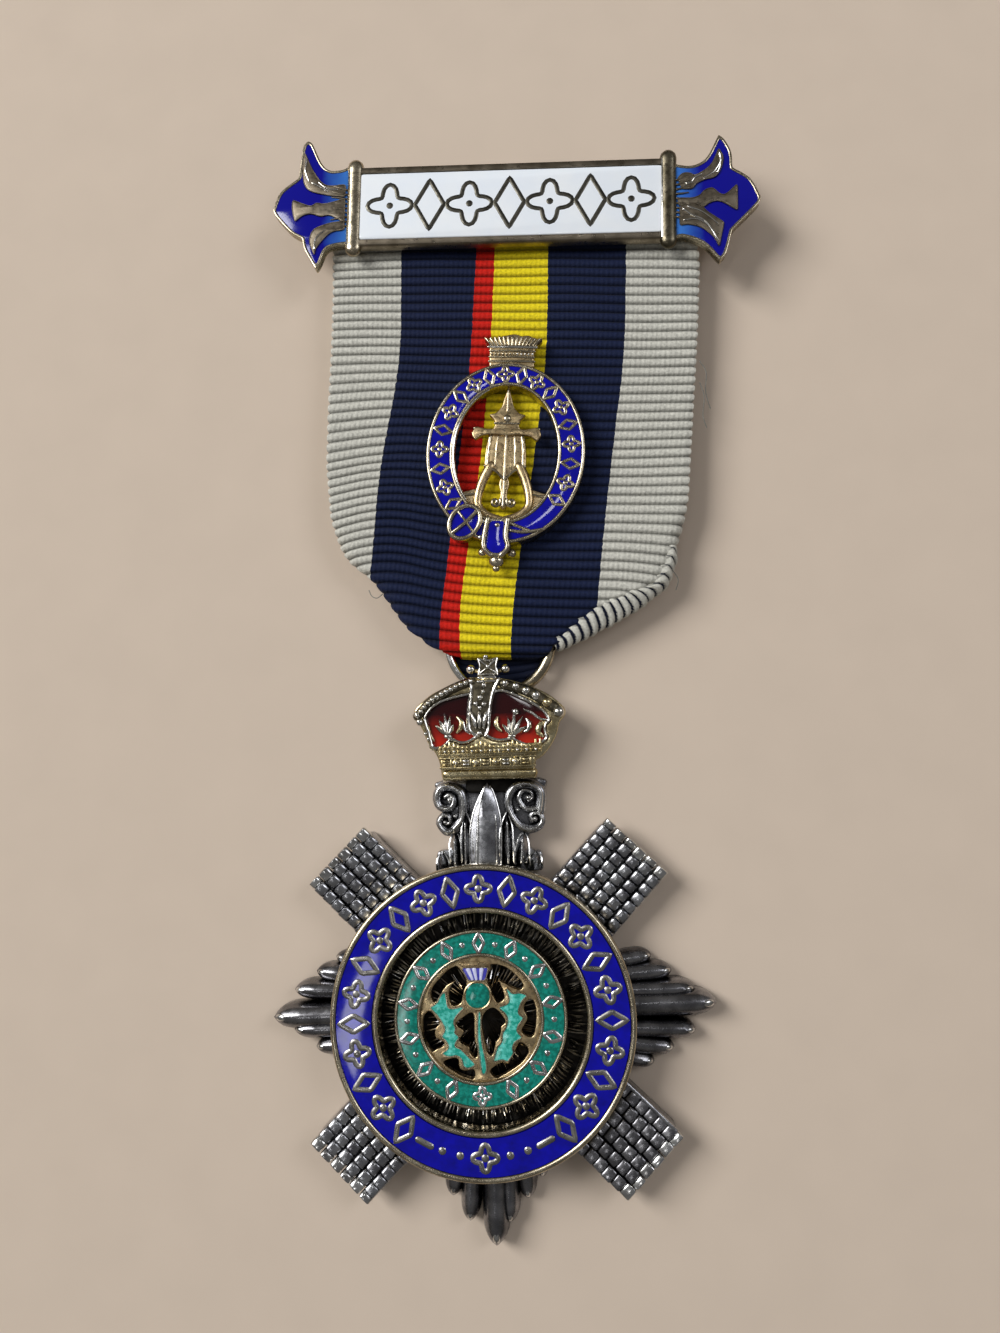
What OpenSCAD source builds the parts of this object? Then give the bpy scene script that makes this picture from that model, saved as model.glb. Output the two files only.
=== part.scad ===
// Breast jewel of an order, lying face up: a silver star with enamelled rings and a gilt crown hangs
// by a wire ring from a corded silk ribbon, which carries an oval belt badge and a brooch bar.
// The origin is the middle of the star's flat back, +Y runs up the jewel and +Z out of its face.

/* [Star] */
// Distance from the star's centre to the point of a leaf arm
star_reach = 20.4; // [19.5:0.1:21.5]
// Distance from the star's centre to the round ends of a diagonal arm's rods
rod_reach = 19.9; // [18.5:0.1:21]
// Number of rods side by side on a diagonal arm
rod_count = 6; // [5:1:7]
// Spacing between neighbouring rods
rod_pitch = 1.25; // [1.1:0.05:1.3]
// Height of the rods' tops above the flat back
rod_top = 3.0; // [2.6:0.1:3.1]
// Height of the floor of the round dish in the middle
dish_floor = 2.2; // [1.6:0.1:2.4]
// Height of the ledge that carries the blue ring and the medallion
ledge_top = 3.0; // [2.8:0.1:3.1]

/* [Rings of enamel] */
// Outer diameter of the blue ring
ring_d = 27.4; // [26.5:0.1:28.5]
// Diameter of the blue ring's opening
ring_open_d = 18.7; // [17.5:0.1:19.5]
// Height of the blue ring's rims
ring_top = 5.0; // [4.8:0.1:5.4]
// Width of a metal rim beside the blue enamel
ring_rim = 0.5; // [0.4:0.05:0.7]
// Outer diameter of the green medallion
medal_d = 15.6; // [15:0.1:16.5]
// Diameter of the medallion's pierced middle
medal_open_d = 10.8; // [10.4:0.1:11.2]
// Height of the medallion's rims
medal_top = 4.4; // [4.2:0.1:4.6]
// Width of a metal rim beside the green enamel
medal_rim = 0.35; // [0.25:0.05:0.5]

/* [Crown and neck] */
// Widest part of the crown
crown_w = 14.1; // [13:0.1:15]
// Height of the crown's back plate above the floor
crown_back = 2.5; // [2.4:0.05:2.7]
// Height of the crown's rims
crown_top = 4.4; // [4:0.1:4.8]
// Length of the polished bar under the crown
crown_bar_l = 8.6; // [8:0.1:9.2]
// Radius of the neck's large scrolls
scroll_r = 1.3; // [1.1:0.05:1.4]

/* [Jump ring] */
// Outer diameter of the jump ring
jump_d = 11.0; // [10.6:0.1:11.4]
// Thickness of its wire
jump_wire = 1.1; // [0.9:0.05:1.15]

/* [Ribbon] */
// Thickness of the ribbon's cloth
cloth = 1.0; // [1:0.05:1.05]
// Width of the ribbon where it passes behind the bar
ribbon_w = 36.6; // [35:0.1:37]
// How far the ribbon's front sags between the bar and the fold
sag = 0.35; // [0:0.05:0.5]

/* [Belt badge] */
// Width of the oval belt
belt_w = 15.2; // [14.5:0.1:16]
// Height of the oval belt
belt_h = 17.8; // [17:0.1:18.5]
// Width of the belt's opening
belt_open_w = 10.0; // [9.6:0.1:10.4]
// Height of the belt's opening
belt_open_h = 13.3; // [13:0.1:13.6]
// Thickness of the badge
belt_t = 1.5; // [1.3:0.05:1.8]

/* [Brooch bar] */
// Distance between the middles of the two collars
collar_span = 31.0; // [30:0.1:32]
// Height of the bar between its long edges
bar_h = 8.6; // [8.2:0.1:9]
// Height of the white enamel
plaque_h = 7.05; // [6.8:0.05:7.2]
// Thickness of a collar
collar_d = 1.7; // [1.5:0.05:1.9]
// Length of a collar
collar_l = 10.1; // [9.6:0.1:10.6]
// Height of the bar's rims
bar_top = 5.0; // [4.9:0.05:5.2]
// Turn of the bar against the star, in degrees
bar_turn = -2.6; // [-4:0.1:0]

/* [Hidden] */
$fn = 48;

// Clearance between pieces that lie on each other
gap = 0.1;
// Clearance round an enamel filling
enamel_gap = 0.05;

// Middle of each sub-assembly in the plane of the floor
ring_at = [-0.65, -0.4];
medal_at = [-0.85, -0.35];
crown_x = 0.6;
neck_x = 0.1;
jump_at = [1.65, 34];
badge_at = [2.95, 51.8];
badge_turn = -4.5;
bar_at = [4.2, 77.2];

// Heights that follow from the stack of ribbon, ring and bar
jump_z = cloth + gap + jump_wire / 2 + 0.05;
ribbon_top = 3.3;
ribbon_mid = ribbon_top / 2;
badge_back = ribbon_top + gap;
bar_back = ribbon_top + gap;

// Metal under the enamel of each channel
ring_bed = ring_top - 0.7;
medal_bed = medal_top - 0.5;
belt_bed = badge_back + belt_t - 0.65;

// Outline helpers
// Unit normal on the left of the edge from a to b
function left_of(a, b) = [a.y - b.y, b.x - a.x] / norm(b - a);
// Anticlockwise outline moved inward by d
function inset(pts, d) = [for (i = [0:len(pts) - 1])
    let (a = pts[(i + len(pts) - 1) % len(pts)], b = pts[i], c = pts[(i + 1) % len(pts)],
         n = left_of(a, b), m = left_of(b, c))
    b + d * (n + m) / (1 + n * m)];
// Right-hand half outline, from bottom to top, closed by its mirror image
function both_sides(half) = concat(half, [for (i = [len(half) - 1:-1:0])
    if (half[i].x > 0) [-half[i].x, half[i].y]]);
// Upper half outline, from the inner to the outer end, closed by its mirror image and anticlockwise
function above_and_below(half) = concat([for (p = half) [p.x, -p.y]], [for (i = [len(half) - 1:-1:0])
    if (half[i].y > 0) half[i]]);

// Flat plate of an outline from height z0 to z1
module plate(pts, z0, z1) translate([0, 0, z0]) linear_extrude(z1 - z0) polygon(pts);

// Ring of channel section: outer radius, opening radius, back, bed, top and rim width
module channel(ro, ri, z0, bed, z1, rim) rotate_extrude($fn = 96) polygon([[ri, z0], [ro, z0], [ro, z1],
    [ro - rim, z1], [ro - rim, bed], [ri + rim, bed], [ri + rim, z1], [ri, z1]]);

// Flat ring between two radii and two heights
module band(ro, ri, z0, z1) rotate_extrude($fn = 96) polygon([[ri, z0], [ro, z0], [ro, z1], [ri, z1]]);

// Pointed lobe lying along +X from its root, cut flat underneath by the caller
module lobe(length, width, height) translate([0, 0, height - width / 2]) rotate([0, 90, 0])
    rotate_extrude() polygon([[0, 0], [width * 0.4, 0], [width * 0.5, length * 0.35], [width * 0.46, length * 0.6],
    [width * 0.3, length * 0.85], [0.1, length], [0, length]]);

// Star
// Lobes of a leaf arm beside the middle one: columns are reach, distance off the axis, width, height
side_lobes = [[18.2, 2.0, 1.7, 2.0], [16.1, 3.25, 1.5, 1.8], [14.3, 4.4, 1.4, 1.6]];
lobe_root = 11;

module leaf_arm() {
    translate([lobe_root, 0, 0]) lobe(star_reach - lobe_root, 3.2, 2.4);
    translate([lobe_root - 1, -1.2, 0]) cube([5, 2.4, 1.2]);
    for (row = side_lobes, side = [-1, 1])
        translate([lobe_root - 0.5, side * row.y * 0.72, 0]) rotate(side * 3)
            lobe(row.x - lobe_root + 0.5, row.z, row[3]);
}

// One diagonal arm along +X: the rods' section run along it, trimmed by a plan with round ends
module rod_arm() {
    half = (rod_count - 1) / 2;
    rod_r = rod_pitch * 0.54;
    intersection() {
        translate([9, 0, 0]) rotate([90, 0, 90]) linear_extrude(rod_reach - 9) {
            for (i = [-half:half]) translate([i * rod_pitch, rod_top - rod_r]) circle(rod_r);
            translate([-half * rod_pitch - rod_r, 0]) square([2 * (half * rod_pitch + rod_r), rod_top - rod_r]);
        }
        translate([0, 0, -1]) linear_extrude(rod_top + 2) {
            for (i = [-half:half]) translate([rod_reach - rod_r, i * rod_pitch]) circle(rod_r);
            translate([8, -half * rod_pitch - rod_r])
                square([rod_reach - rod_r - 8, 2 * (half * rod_pitch + rod_r)]);
        }
    }
}

// Scrolls and leaves of the neck: columns are x from the neck's axis, y, radius
neck_scrolls = [[3.4, 19.1, 0], [3.9, 17.0, 0.85], [4.2, 14.0, 0.8]];
// Upright leaves of the neck: columns are x from the axis, y of the tip, width, height
neck_leaves = [[0, 20.6, 2.1, 3.15], [1.75, 18.2, 1.5, 2.7], [3.1, 16.0, 1.4, 2.4]];
neck_foot = 12.2;

module neck() {
    translate([-3.6, neck_foot, 0]) cube([7.2, 8.6, 1.7]);
    for (side = [-1, 1], row = neck_scrolls)
        translate([side * row.x, row.y, 0]) cylinder(r = row.z > 0 ? row.z : scroll_r, h = 2.6);
    for (side = [-1, 1], row = neck_scrolls)
        translate([side * row.x, row.y, 2.4]) cylinder(r = 0.45, h = 0.6);
    for (side = [-1, 1], row = neck_leaves)
        translate([side * row.x, neck_foot, 0]) rotate(90) lobe(row.y - neck_foot, row.z, row[3]);
    // Tongue that carries the crown
    translate([-2.6, 19.7, 0]) cube([5.2, 6.7, crown_back - gap]);
}

module star_body() color("dimgray") difference() {
    union() {
        difference() {
            union() {
                cylinder(r = 13, h = ledge_top, $fn = 96);
                for (a = [45:90:315]) rotate(a) rod_arm();
                for (a = [0, 180, 270]) rotate(a) leaf_arm();
                translate([neck_x, 0, 0]) neck();
            }
            translate([ring_at.x, ring_at.y, dish_floor]) cylinder(d = ring_open_d + 0.6, h = 5, $fn = 96);
        }
        translate([medal_at.x, medal_at.y, 0]) band(medal_d / 2 - 0.9, medal_open_d / 2 + 0.6, 1, ledge_top);
    }
    translate([-40, -40, -10]) cube([80, 80, 10]);
}

module blue_ring_frame() color("darkkhaki") translate([ring_at.x, ring_at.y, 0])
    channel(ring_d / 2, ring_open_d / 2, max(rod_top, ledge_top) + gap, ring_bed, ring_top, ring_rim);

module blue_ring_enamel() color("mediumblue") translate([ring_at.x, ring_at.y, 0])
    band(ring_d / 2 - ring_rim - enamel_gap, ring_open_d / 2 + ring_rim + enamel_gap,
         ring_bed + enamel_gap, ring_top - 0.08);

// Pierced openings round the thistle, from the medallion's middle
piercings = [
    [[-4.5, 2.0], [-4.05, 1.7], [-3.1, 2.9], [-2.3, 3.4], [-2.95, 2.65], [-2.75, 1.8], [-2.2, 1.3],
     [-1.7, 1.8], [-1.3, 3.2], [-2.0, 4.6], [-3.2, 4.0], [-4.1, 3.0]],
    [[-5.1, 0.4], [-4.8, 0.8], [-4.3, 0.5], [-3.7, -0.2], [-4.0, -1.0], [-3.4, -2.0], [-3.9, -2.4],
     [-4.5, -2.5], [-5.0, -1.5]],
    [[-2.1, -0.1], [-1.6, 0.45], [-0.8, 0.6], [-0.6, 0.1], [-0.6, -1.5], [-0.35, -3.0], [-0.8, -2.8],
     [-1.2, -2.1], [-1.95, -1.7], [-1.4, -0.9]],
    [[1.05, 1.2], [2.1, 0.1], [1.75, -0.5], [1.7, -1.4], [1.3, -2.0], [1.1, -2.8], [0.6, -2.6],
     [0.15, -0.5], [0.3, 0.7]],
    [[0.95, 4.8], [2.3, 4.4], [3.3, 3.7], [3.85, 3.05], [3.5, 2.7], [1.85, 3.4], [2.15, 1.95],
     [1.7, 1.6], [1.2, 2.1], [0.7, 3.55]],
    [[4.4, 1.9], [4.9, 1.4], [5.0, -0.3], [4.75, -1.15], [4.3, -1.3], [3.7, -0.7], [4.2, 0.2], [3.95, 1.15]],
    [[3.2, -1.95], [3.85, -1.95], [4.4, -2.4], [3.7, -3.6], [2.5, -4.4], [1.4, -4.8], [1.05, -4.4],
     [1.75, -3.55], [2.6, -3.4]],
    [[-3.4, -3.3], [-2.6, -3.05], [-1.95, -3.55], [-1.7, -4.15], [-0.7, -4.05], [-0.5, -4.8],
     [-1.5, -4.8], [-2.6, -4.2]]];
thistle_bed = medal_top - 0.55;

module medallion_frame() color("darkkhaki") translate([medal_at.x, medal_at.y, 0]) {
    channel(medal_d / 2, medal_open_d / 2, ledge_top + gap, medal_bed, medal_top, medal_rim);
    difference() {
        translate([0, 0, ledge_top + gap])
            cylinder(d = medal_open_d + 0.2, h = thistle_bed - ledge_top - gap, $fn = 96);
        for (hole = piercings) plate(hole, ledge_top, medal_top);
    }
}

module medallion_enamel() color("seagreen") translate([medal_at.x, medal_at.y, 0])
    band(medal_d / 2 - medal_rim - enamel_gap, medal_open_d / 2 + medal_rim + enamel_gap,
         medal_bed + enamel_gap, medal_top - 0.08);

module on_thistle() translate([medal_at.x, medal_at.y, thistle_bed + enamel_gap]) children();

module thistle_bloom() color("lightsteelblue") on_thistle()
    linear_extrude(0.35) polygon([[-0.9, 3.35], [0.35, 3.35], [0.7, 4.4], [-1.7, 4.4]]);

module thistle_stem() color("mediumturquoise") on_thistle() {
    translate([-0.15, 2.15, 0]) cylinder(r = 1.0, h = 0.4);
    linear_extrude(0.3) polygon([[-0.35, 1.3], [0.05, 1.3], [0.35, -3.2], [0.35, -4.7], [0.05, -4.7], [-0.15, -3]]);
}

module thistle_leaf_left() color("mediumturquoise") on_thistle() linear_extrude(0.3) polygon([[-4.4, 1.3],
    [-3.9, 0.7], [-3.2, -0.1], [-3.4, -0.9], [-2.9, -2.1], [-2.4, -2.75], [-1.6, -3.1], [-1.5, -3.85],
    [-0.9, -3.7], [-1.6, -2.6], [-2.3, -1.9], [-2.1, -0.9], [-2.5, -0.2], [-2.1, 0.8], [-3.0, 1.3],
    [-3.3, 2.1], [-3.8, 1.5]]);

module thistle_leaf_right() color("mediumturquoise") on_thistle() linear_extrude(0.3) polygon([[2.7, 2.4],
    [3.4, 2.3], [3.8, 2.0], [3.5, 1.1], [3.7, 0.3], [3.1, -0.8], [2.9, -1.9], [2.4, -3.0], [1.6, -3.2],
    [2.0, -2.2], [2.1, -1.0], [2.4, 0.1], [1.7, 1.3], [2.5, 1.7]]);

// Crown
// Right-hand half of the crown's outline from the bar up to the top of its arches
crown_half = [[0, 22], [4.1, 22], [4.3, 23], [5.25, 23.9], [6.2, 25], [6.75, 26], [crown_w / 2, 26.9],
              [6.75, 27.6], [5.75, 28.4], [4.2, 29.2], [2.2, 29.85], [0, 30]];
// Right-hand red cell, anticlockwise
cell = [[1.1, 24.9], [2.2, 24.3], [3.3, 24.5], [4.9, 24.2], [5.9, 25.6], [6.1, 26.7], [5.0, 27.7],
        [3.4, 28.5], [1.2, 29.1]];
cross_at = [crown_x + 0.05, 31.55];
bar_y = 21.45;

module crown_bead(p, r) translate([p.x, p.y, crown_top - 0.2]) cylinder(r1 = r, r2 = r * 0.7, h = 0.6);

module crown_frame() color("goldenrod") {
    translate([crown_x, 0, 0]) {
        plate(both_sides(crown_half), crown_back, crown_back + 0.7);
        difference() {
            plate(both_sides(crown_half), crown_back, crown_top);
            for (side = [0, 1]) mirror([side, 0, 0]) plate(cell, crown_back + 0.7, crown_top + 1);
        }
        // Jewelled band up the middle and the circlet's two rows
        translate([-0.9, 24, crown_back]) cube([1.8, 6, crown_top - crown_back + 0.4]);
        translate([-4.1, 22.1, crown_back]) cube([8.2, 0.9, crown_top - crown_back + 0.4]);
        translate([-4.25, 23.1, crown_back]) cube([8.5, 0.6, crown_top - crown_back + 0.3]);
        // Beads along each arch, larger towards the shoulder
        for (side = [-1, 1], i = [0:6]) let (t = i / 6)
            crown_bead([side * (1.6 + 5.0 * t), 29.6 - 0.5 * t - 2.2 * t * t], 0.3 + 0.15 * t);
        // Polished bar along the bottom
        translate([-crown_bar_l / 2, bar_y, crown_back + 0.75]) rotate([0, 90, 0])
            cylinder(r = 0.65, h = crown_bar_l);
        translate([-crown_bar_l / 2, bar_y, crown_back]) cube([crown_bar_l, 0.8, 0.8]);
    }
    // Orb, cross and its two balls
    translate([crown_x + 0.05, 30.4, crown_back + 0.9]) sphere(0.75);
    translate([cross_at.x, cross_at.y, crown_back]) linear_extrude(1.3) for (a = [0:90:270]) rotate(a)
        polygon([[0.2, -0.2], [0.2, 0.2], [0.85, 0.6], [0.85, -0.6]]);
    translate([cross_at.x - 0.3, cross_at.y - 0.3, crown_back]) cube([0.6, 0.6, 1.3]);
    for (side = [-1, 1]) translate([cross_at.x + side * 1.3, cross_at.y - 0.55, crown_back + 0.5]) {
        sphere(0.42);
        translate([side > 0 ? -0.9 : 0, -0.25, -0.5]) cube([0.9, 0.5, 0.6]);
    }
    // Loop behind the crown that holds the jump ring
    translate([jump_at.x - 0.7, jump_at.y - 6.3, jump_z - 1.2]) difference() {
        cube([1.4, 2.4, crown_back + 0.1 - jump_z + 1.2]);
        translate([-1, 6.3 - jump_d / 2 + jump_wire / 2, 1.2]) rotate([0, 90, 0]) cylinder(d = jump_wire + 0.4, h = 4);
    }
}

module crown_enamel(side) color("firebrick") translate([crown_x, 0, 0]) mirror([side, 0, 0])
    plate(inset(cell, enamel_gap), crown_back + 0.75, crown_top - 0.25);
module crown_enamel_left() crown_enamel(1);
module crown_enamel_right() crown_enamel(0);

module jump_ring() color("silver") translate([jump_at.x, jump_at.y, jump_z]) rotate_extrude($fn = 96)
    translate([(jump_d - jump_wire) / 2, 0]) circle(d = jump_wire, $fn = 24);

// Ribbon
// Edges of the ribbon's front: columns are y, left edge, right edge
ribbon_rows = [[32.6, -3.7, 7.0], [33.7, -5.3, 8.8], [35.1, -6.8, 11.9], [37.3, -8.35, 15.9],
    [38.8, -9.35, 17.1], [40.4, -10.4, 18.1], [41.3, -11.6, 18.5], [42.3, -12.8, 18.95], [44, -13.65, 19.6],
    [46.6, -14.35, 20.2], [52, -14.75, 20.8], [58, -14.55, 21.45], [64, -14.2, 22.05], [70, -13.9, 22.55]];
fold_rows = 9;
// Height of the ribbon's front surface along it: columns are y, share of the sag
sag_rows = [[30, 0], [47, 0], [52, 0.7], [58, 1], [64, 0.75], [70, 0], [80, 0]];
// Rail that the ribbon passes round, across the bar
rail_y = -1.2;
rail_half = ribbon_w / 2 + 0.2;
// Bottom fold, which passes through the jump ring
bend_x = [-2.2, 5.5];
bend_y = 32.35 + ribbon_mid;

function on_bar(p) = bar_at + [p.x * cos(bar_turn) - p.y * sin(bar_turn),
                               p.x * sin(bar_turn) + p.y * cos(bar_turn)];
ribbon_head = [on_bar([ribbon_w / 2 - 0.1, rail_y]), on_bar([0.1 - ribbon_w / 2, rail_y])];
function right_edge(rows) = [for (r = rows) [r.z, r.x]];
function left_edge(rows) = [for (i = [len(rows) - 1:-1:0]) [rows[i].y, rows[i].x]];
front_plan = concat(right_edge(ribbon_rows), ribbon_head, left_edge(ribbon_rows));
back_plan = concat([[bend_x[1], bend_y], [19.2, 47]], ribbon_head, [[-13.3, 47.6], [bend_x[0], bend_y]]);
// Outline of the folded corners, a little inside the front's edges
lower_rows = [for (i = [0:fold_rows]) ribbon_rows[i] + [0.3, 0.3, -0.3]];
// Corner of the ribbon that each fold brings behind the front
left_corner = [-1.2, 41.9];
right_corner = [8.5, 45.9];

// Layer of cloth that follows the sag, from depth d0 to d1 under the front surface
module layer(d0, d1) rotate([90, 0, 90]) translate([0, 0, -20]) linear_extrude(50) polygon(concat(
    [for (r = sag_rows) [r.x, ribbon_top - d1 - sag * r.y]],
    [for (i = [len(sag_rows) - 1:-1:0]) [sag_rows[i].x, ribbon_top - d0 - sag * sag_rows[i].y]]));

// Turn of the cloth round the rail or the ring, with short tails that run into the leaves
turn_tail = 0.5;
module half_turn(side, length) rotate([90, 0, 90]) linear_extrude(length) mirror([side > 0 ? 0 : 1, 0]) {
    difference() {
        circle(ribbon_mid);
        circle(ribbon_mid - cloth);
        translate([-4, -4]) square([4, 8]);
    }
    for (z = [-ribbon_mid, ribbon_mid - cloth]) translate([-turn_tail, z]) square([turn_tail, cloth]);
}

module ribbon() color("midnightblue") {
    intersection() {
        layer(0, cloth);
        plate(front_plan, 0, 6);
    }
    // Corners folded behind, clear of the jump ring
    difference() {
        intersection() {
            layer(cloth / 2, 2 * cloth);
            union() {
                plate(concat(left_edge(lower_rows), [left_corner]), 0, 6);
                plate(concat(right_edge(lower_rows), [right_corner]), 0, 6);
            }
        }
        translate([jump_at.x, jump_at.y, 0]) cylinder(d = jump_d + 0.8, h = 6, $fn = 96);
    }
    plate(back_plan, 0, cloth);
    translate([bend_x[0], bend_y, ribbon_mid]) half_turn(-1, bend_x[1] - bend_x[0]);
    translate([bar_at.x, bar_at.y, ribbon_mid]) rotate(bar_turn)
        translate([-ribbon_w / 2, rail_y, 0]) half_turn(1, ribbon_w);
}

// Belt badge
module on_badge(z) translate([badge_at.x, badge_at.y, z]) rotate(badge_turn) children();
module oval(w, h, z0, z1) translate([0, 0, z0]) scale([w / 2, h / 2, 1]) cylinder(r = 1, h = z1 - z0, $fn = 96);
belt_rim = 0.35;
buckle_at = [-3.35, -7.1];
buckle_r = 1.55;
// Metal between the buckle and the strap end
keeper = [[-2.8, -8.6], [-1.3, -9.2], [-1.3, -6.7], [-2.3, -6.2]];
strap = [[-1.4, -9.8], [0.8, -9.8], [0.8, -6.8], [-1.4, -6.8]];
coronet_half = [[0, 8.6], [2.25, 8.6], [2.45, 9.4], [2.4, 10.2], [2.9, 11.6], [2.0, 11.4], [1.4, 11.9],
                [0.7, 11.6], [0, 12]];
finial_half = [[0, -6.9], [0.55, -6.9], [0.35, -3], [0.9, 0.5], [0.6, 1.9], [2.9, 2.0], [2.9, 2.7],
               [0.9, 2.7], [1.2, 3.6], [0.35, 4.6], [0.25, 6.9], [0, 6.9]];

module badge_frame() color("darkkhaki") on_badge(badge_back) {
    difference() {
        oval(belt_w, belt_h, 0, belt_t);
        difference() {
            oval(belt_w - 2 * belt_rim, belt_h - 2 * belt_rim, belt_bed - badge_back, belt_t + 1);
            oval(belt_open_w + 2 * belt_rim, belt_open_h + 2 * belt_rim, 0, belt_t + 2);
        }
        oval(belt_open_w, belt_open_h, -1, belt_t + 3);
    }
    plate(both_sides(coronet_half), 0, belt_t - 0.2);
    plate(both_sides(finial_half), 0.1, belt_t - 0.4);
    // Scrolls at the finial's foot
    for (side = [-1, 1]) translate([side * 1.75, -3.6, 0.1]) band(1.75, 1.3, 0, belt_t - 0.6);
    // Buckle, strap end and its tip
    translate([buckle_at.x, buckle_at.y, 0]) cylinder(r = buckle_r, h = belt_t + 0.3);
    plate(strap, 0, belt_t + 0.2);
    plate(keeper, 0, belt_t);
    plate([[-1.9, -9.9], [-0.9, -9.6], [0.4, -9.6], [1.4, -9.9], [0.9, -10.7], [-0.25, -11.6], [-1.3, -10.7]],
          0, belt_t);
}

module badge_enamel() color("mediumblue") on_badge(badge_back) difference() {
    oval(belt_w - 2 * belt_rim - 0.1, belt_h - 2 * belt_rim - 0.1, belt_bed - badge_back + enamel_gap, belt_t - 0.08);
    oval(belt_open_w + 2 * belt_rim + 0.1, belt_open_h + 2 * belt_rim + 0.1, 0, belt_t + 2);
    translate([buckle_at.x, buckle_at.y, 0]) cylinder(r = buckle_r + enamel_gap, h = 4);
    plate(inset(strap, -enamel_gap), -1, 4);
    plate(inset(keeper, -enamel_gap), -1, 4);
}

// Brooch bar
plaque_w = collar_span - collar_d;
plaque_bed = bar_top - 0.55;
fleur_top = bar_top - 0.25;
fleur_bed = fleur_top - 0.35;
// Upper half of a fleur-de-lis end: columns are distance out from the collar's middle, distance off the axis
fleur_half = [[0.4, 3.6], [1.9, 3.75], [2.8, 4.15], [3.6, 4.85], [4.2, 5.7], [4.6, 6.4], [5.25, 6.4],
              [5.6, 5.4], [5.9, 4.2], [6.15, 3.1], [7.1, 2.6], [8.1, 1.6], [8.75, 0.45]];
// Gilt leaf on each side petal, and the waisted ornament on the middle petal
petal_leaf = [[1.3, 0.6], [2.5, 0.9], [3.8, 1.6], [4.9, 2.6], [5.0, 3.9], [4.8, 5.0], [3.6, 3.3], [2.4, 2.1]];
waisted_half = [[2.2, 0.25], [3.2, 0.3], [4.1, 0.75], [5.1, 0.45], [6.4, 1.0]];
fleur = above_and_below(fleur_half);
waisted = above_and_below(waisted_half);

module on_bar_frame() translate([bar_at.x, bar_at.y, 0]) rotate(bar_turn) children();
// The two ends: side 0 is the right one, and side 1 its mirror image on the left
module at_end(side) mirror([side, 0, 0]) translate([collar_span / 2, 0, 0]) children();
// Ornaments of one end, grown by d
module fleur_ornaments(z0, z1, d) {
    plate(inset(waisted, -d), z0, z1);
    for (flip = [0, 1]) mirror([0, flip, 0]) plate(inset(petal_leaf, -d), z0, z1);
}

module bar_frame() color("darkkhaki") on_bar_frame() {
    difference() {
        translate([-collar_span / 2, -bar_h / 2, bar_back + 0.6])
            cube([collar_span, bar_h, bar_top - bar_back - 0.6]);
        translate([-plaque_w / 2, -plaque_h / 2, plaque_bed]) cube([plaque_w, plaque_h, 2]);
    }
    translate([-collar_span / 2, -bar_h / 2 + 0.8, bar_back]) cube([collar_span, bar_h - 1.6, 0.7]);
    for (side = [0, 1]) at_end(side) {
        translate([0, -collar_l / 2 + collar_d / 2, bar_top + 0.1 - collar_d / 2]) rotate([-90, 0, 0])
            cylinder(d = collar_d, h = collar_l - collar_d);
        for (flip = [-1, 1])
            translate([0, flip * (collar_l - collar_d) / 2, bar_top + 0.1 - collar_d / 2]) sphere(d = collar_d);
        difference() {
            plate(fleur, bar_back + 0.35, fleur_top);
            plate(inset(fleur, 0.3), fleur_bed, bar_top);
        }
        fleur_ornaments(fleur_bed - 0.1, fleur_top + 0.1, 0);
        // Post of the ribbon's rail
        translate([rail_half - collar_span / 2 + 0.1, rail_y - 0.5, ribbon_mid - 0.5])
            cube([0.9, 1, fleur_bed - ribbon_mid]);
    }
    translate([-rail_half - 0.5, rail_y, ribbon_mid]) rotate([0, 90, 0]) cylinder(r = 0.45, h = 2 * rail_half + 1);
}

module bar_enamel() color("aliceblue") on_bar_frame()
    translate([-plaque_w / 2 + enamel_gap, -plaque_h / 2 + enamel_gap, plaque_bed + enamel_gap])
        cube([plaque_w - 2 * enamel_gap, plaque_h - 2 * enamel_gap, bar_top - plaque_bed - 0.1]);

module fleur_enamel(side) color("mediumblue") on_bar_frame() difference() {
    at_end(side) difference() {
        plate(inset(fleur, 0.3 + enamel_gap), fleur_bed + enamel_gap, fleur_top - 0.05);
        fleur_ornaments(0, 10, enamel_gap);
    }
    at_end(side) translate([-2, -10, 0]) cube([2 + collar_d / 2 + enamel_gap, 20, 10]);
}
module fleur_enamel_left() fleur_enamel(1);
module fleur_enamel_right() fleur_enamel(0);

// Hidden pin: hinge block, straight wire and catch
pin_y = 2.3;
pin_half = 13;
module brooch_pin() color("silver") on_bar_frame() translate([0, pin_y, 0]) {
    for (side = [-1, 1]) translate([side * pin_half - 1.4, -1.1, 0]) cube([2.8, 2.2, bar_back - gap]);
    translate([-pin_half, 0, 1.2]) rotate([0, 90, 0]) cylinder(r = 0.4, h = 2 * pin_half + 1.9);
    translate([pin_half + 1.9, 0, 1.2]) rotate([0, 90, 0]) cylinder(r1 = 0.4, r2 = 0.05, h = 1.4);
}

star_body();
blue_ring_frame();
blue_ring_enamel();
medallion_frame();
medallion_enamel();
thistle_bloom();
thistle_stem();
thistle_leaf_left();
thistle_leaf_right();
crown_frame();
crown_enamel_left();
crown_enamel_right();
jump_ring();
ribbon();
badge_frame();
badge_enamel();
bar_frame();
bar_enamel();
fleur_enamel_left();
fleur_enamel_right();
brooch_pin();
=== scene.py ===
"""Breast jewel of an order, lying face up: enamelled star, gilt crown, corded ribbon, belt badge and bar.

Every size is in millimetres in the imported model's own frame, and turned to metres when a piece is built.
"""

import logging
import math
from dataclasses import dataclass, field
from enum import Enum
from typing import Iterable, Sequence

import bmesh
import bpy
import numpy as np
from mathutils import Matrix, Vector


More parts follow.
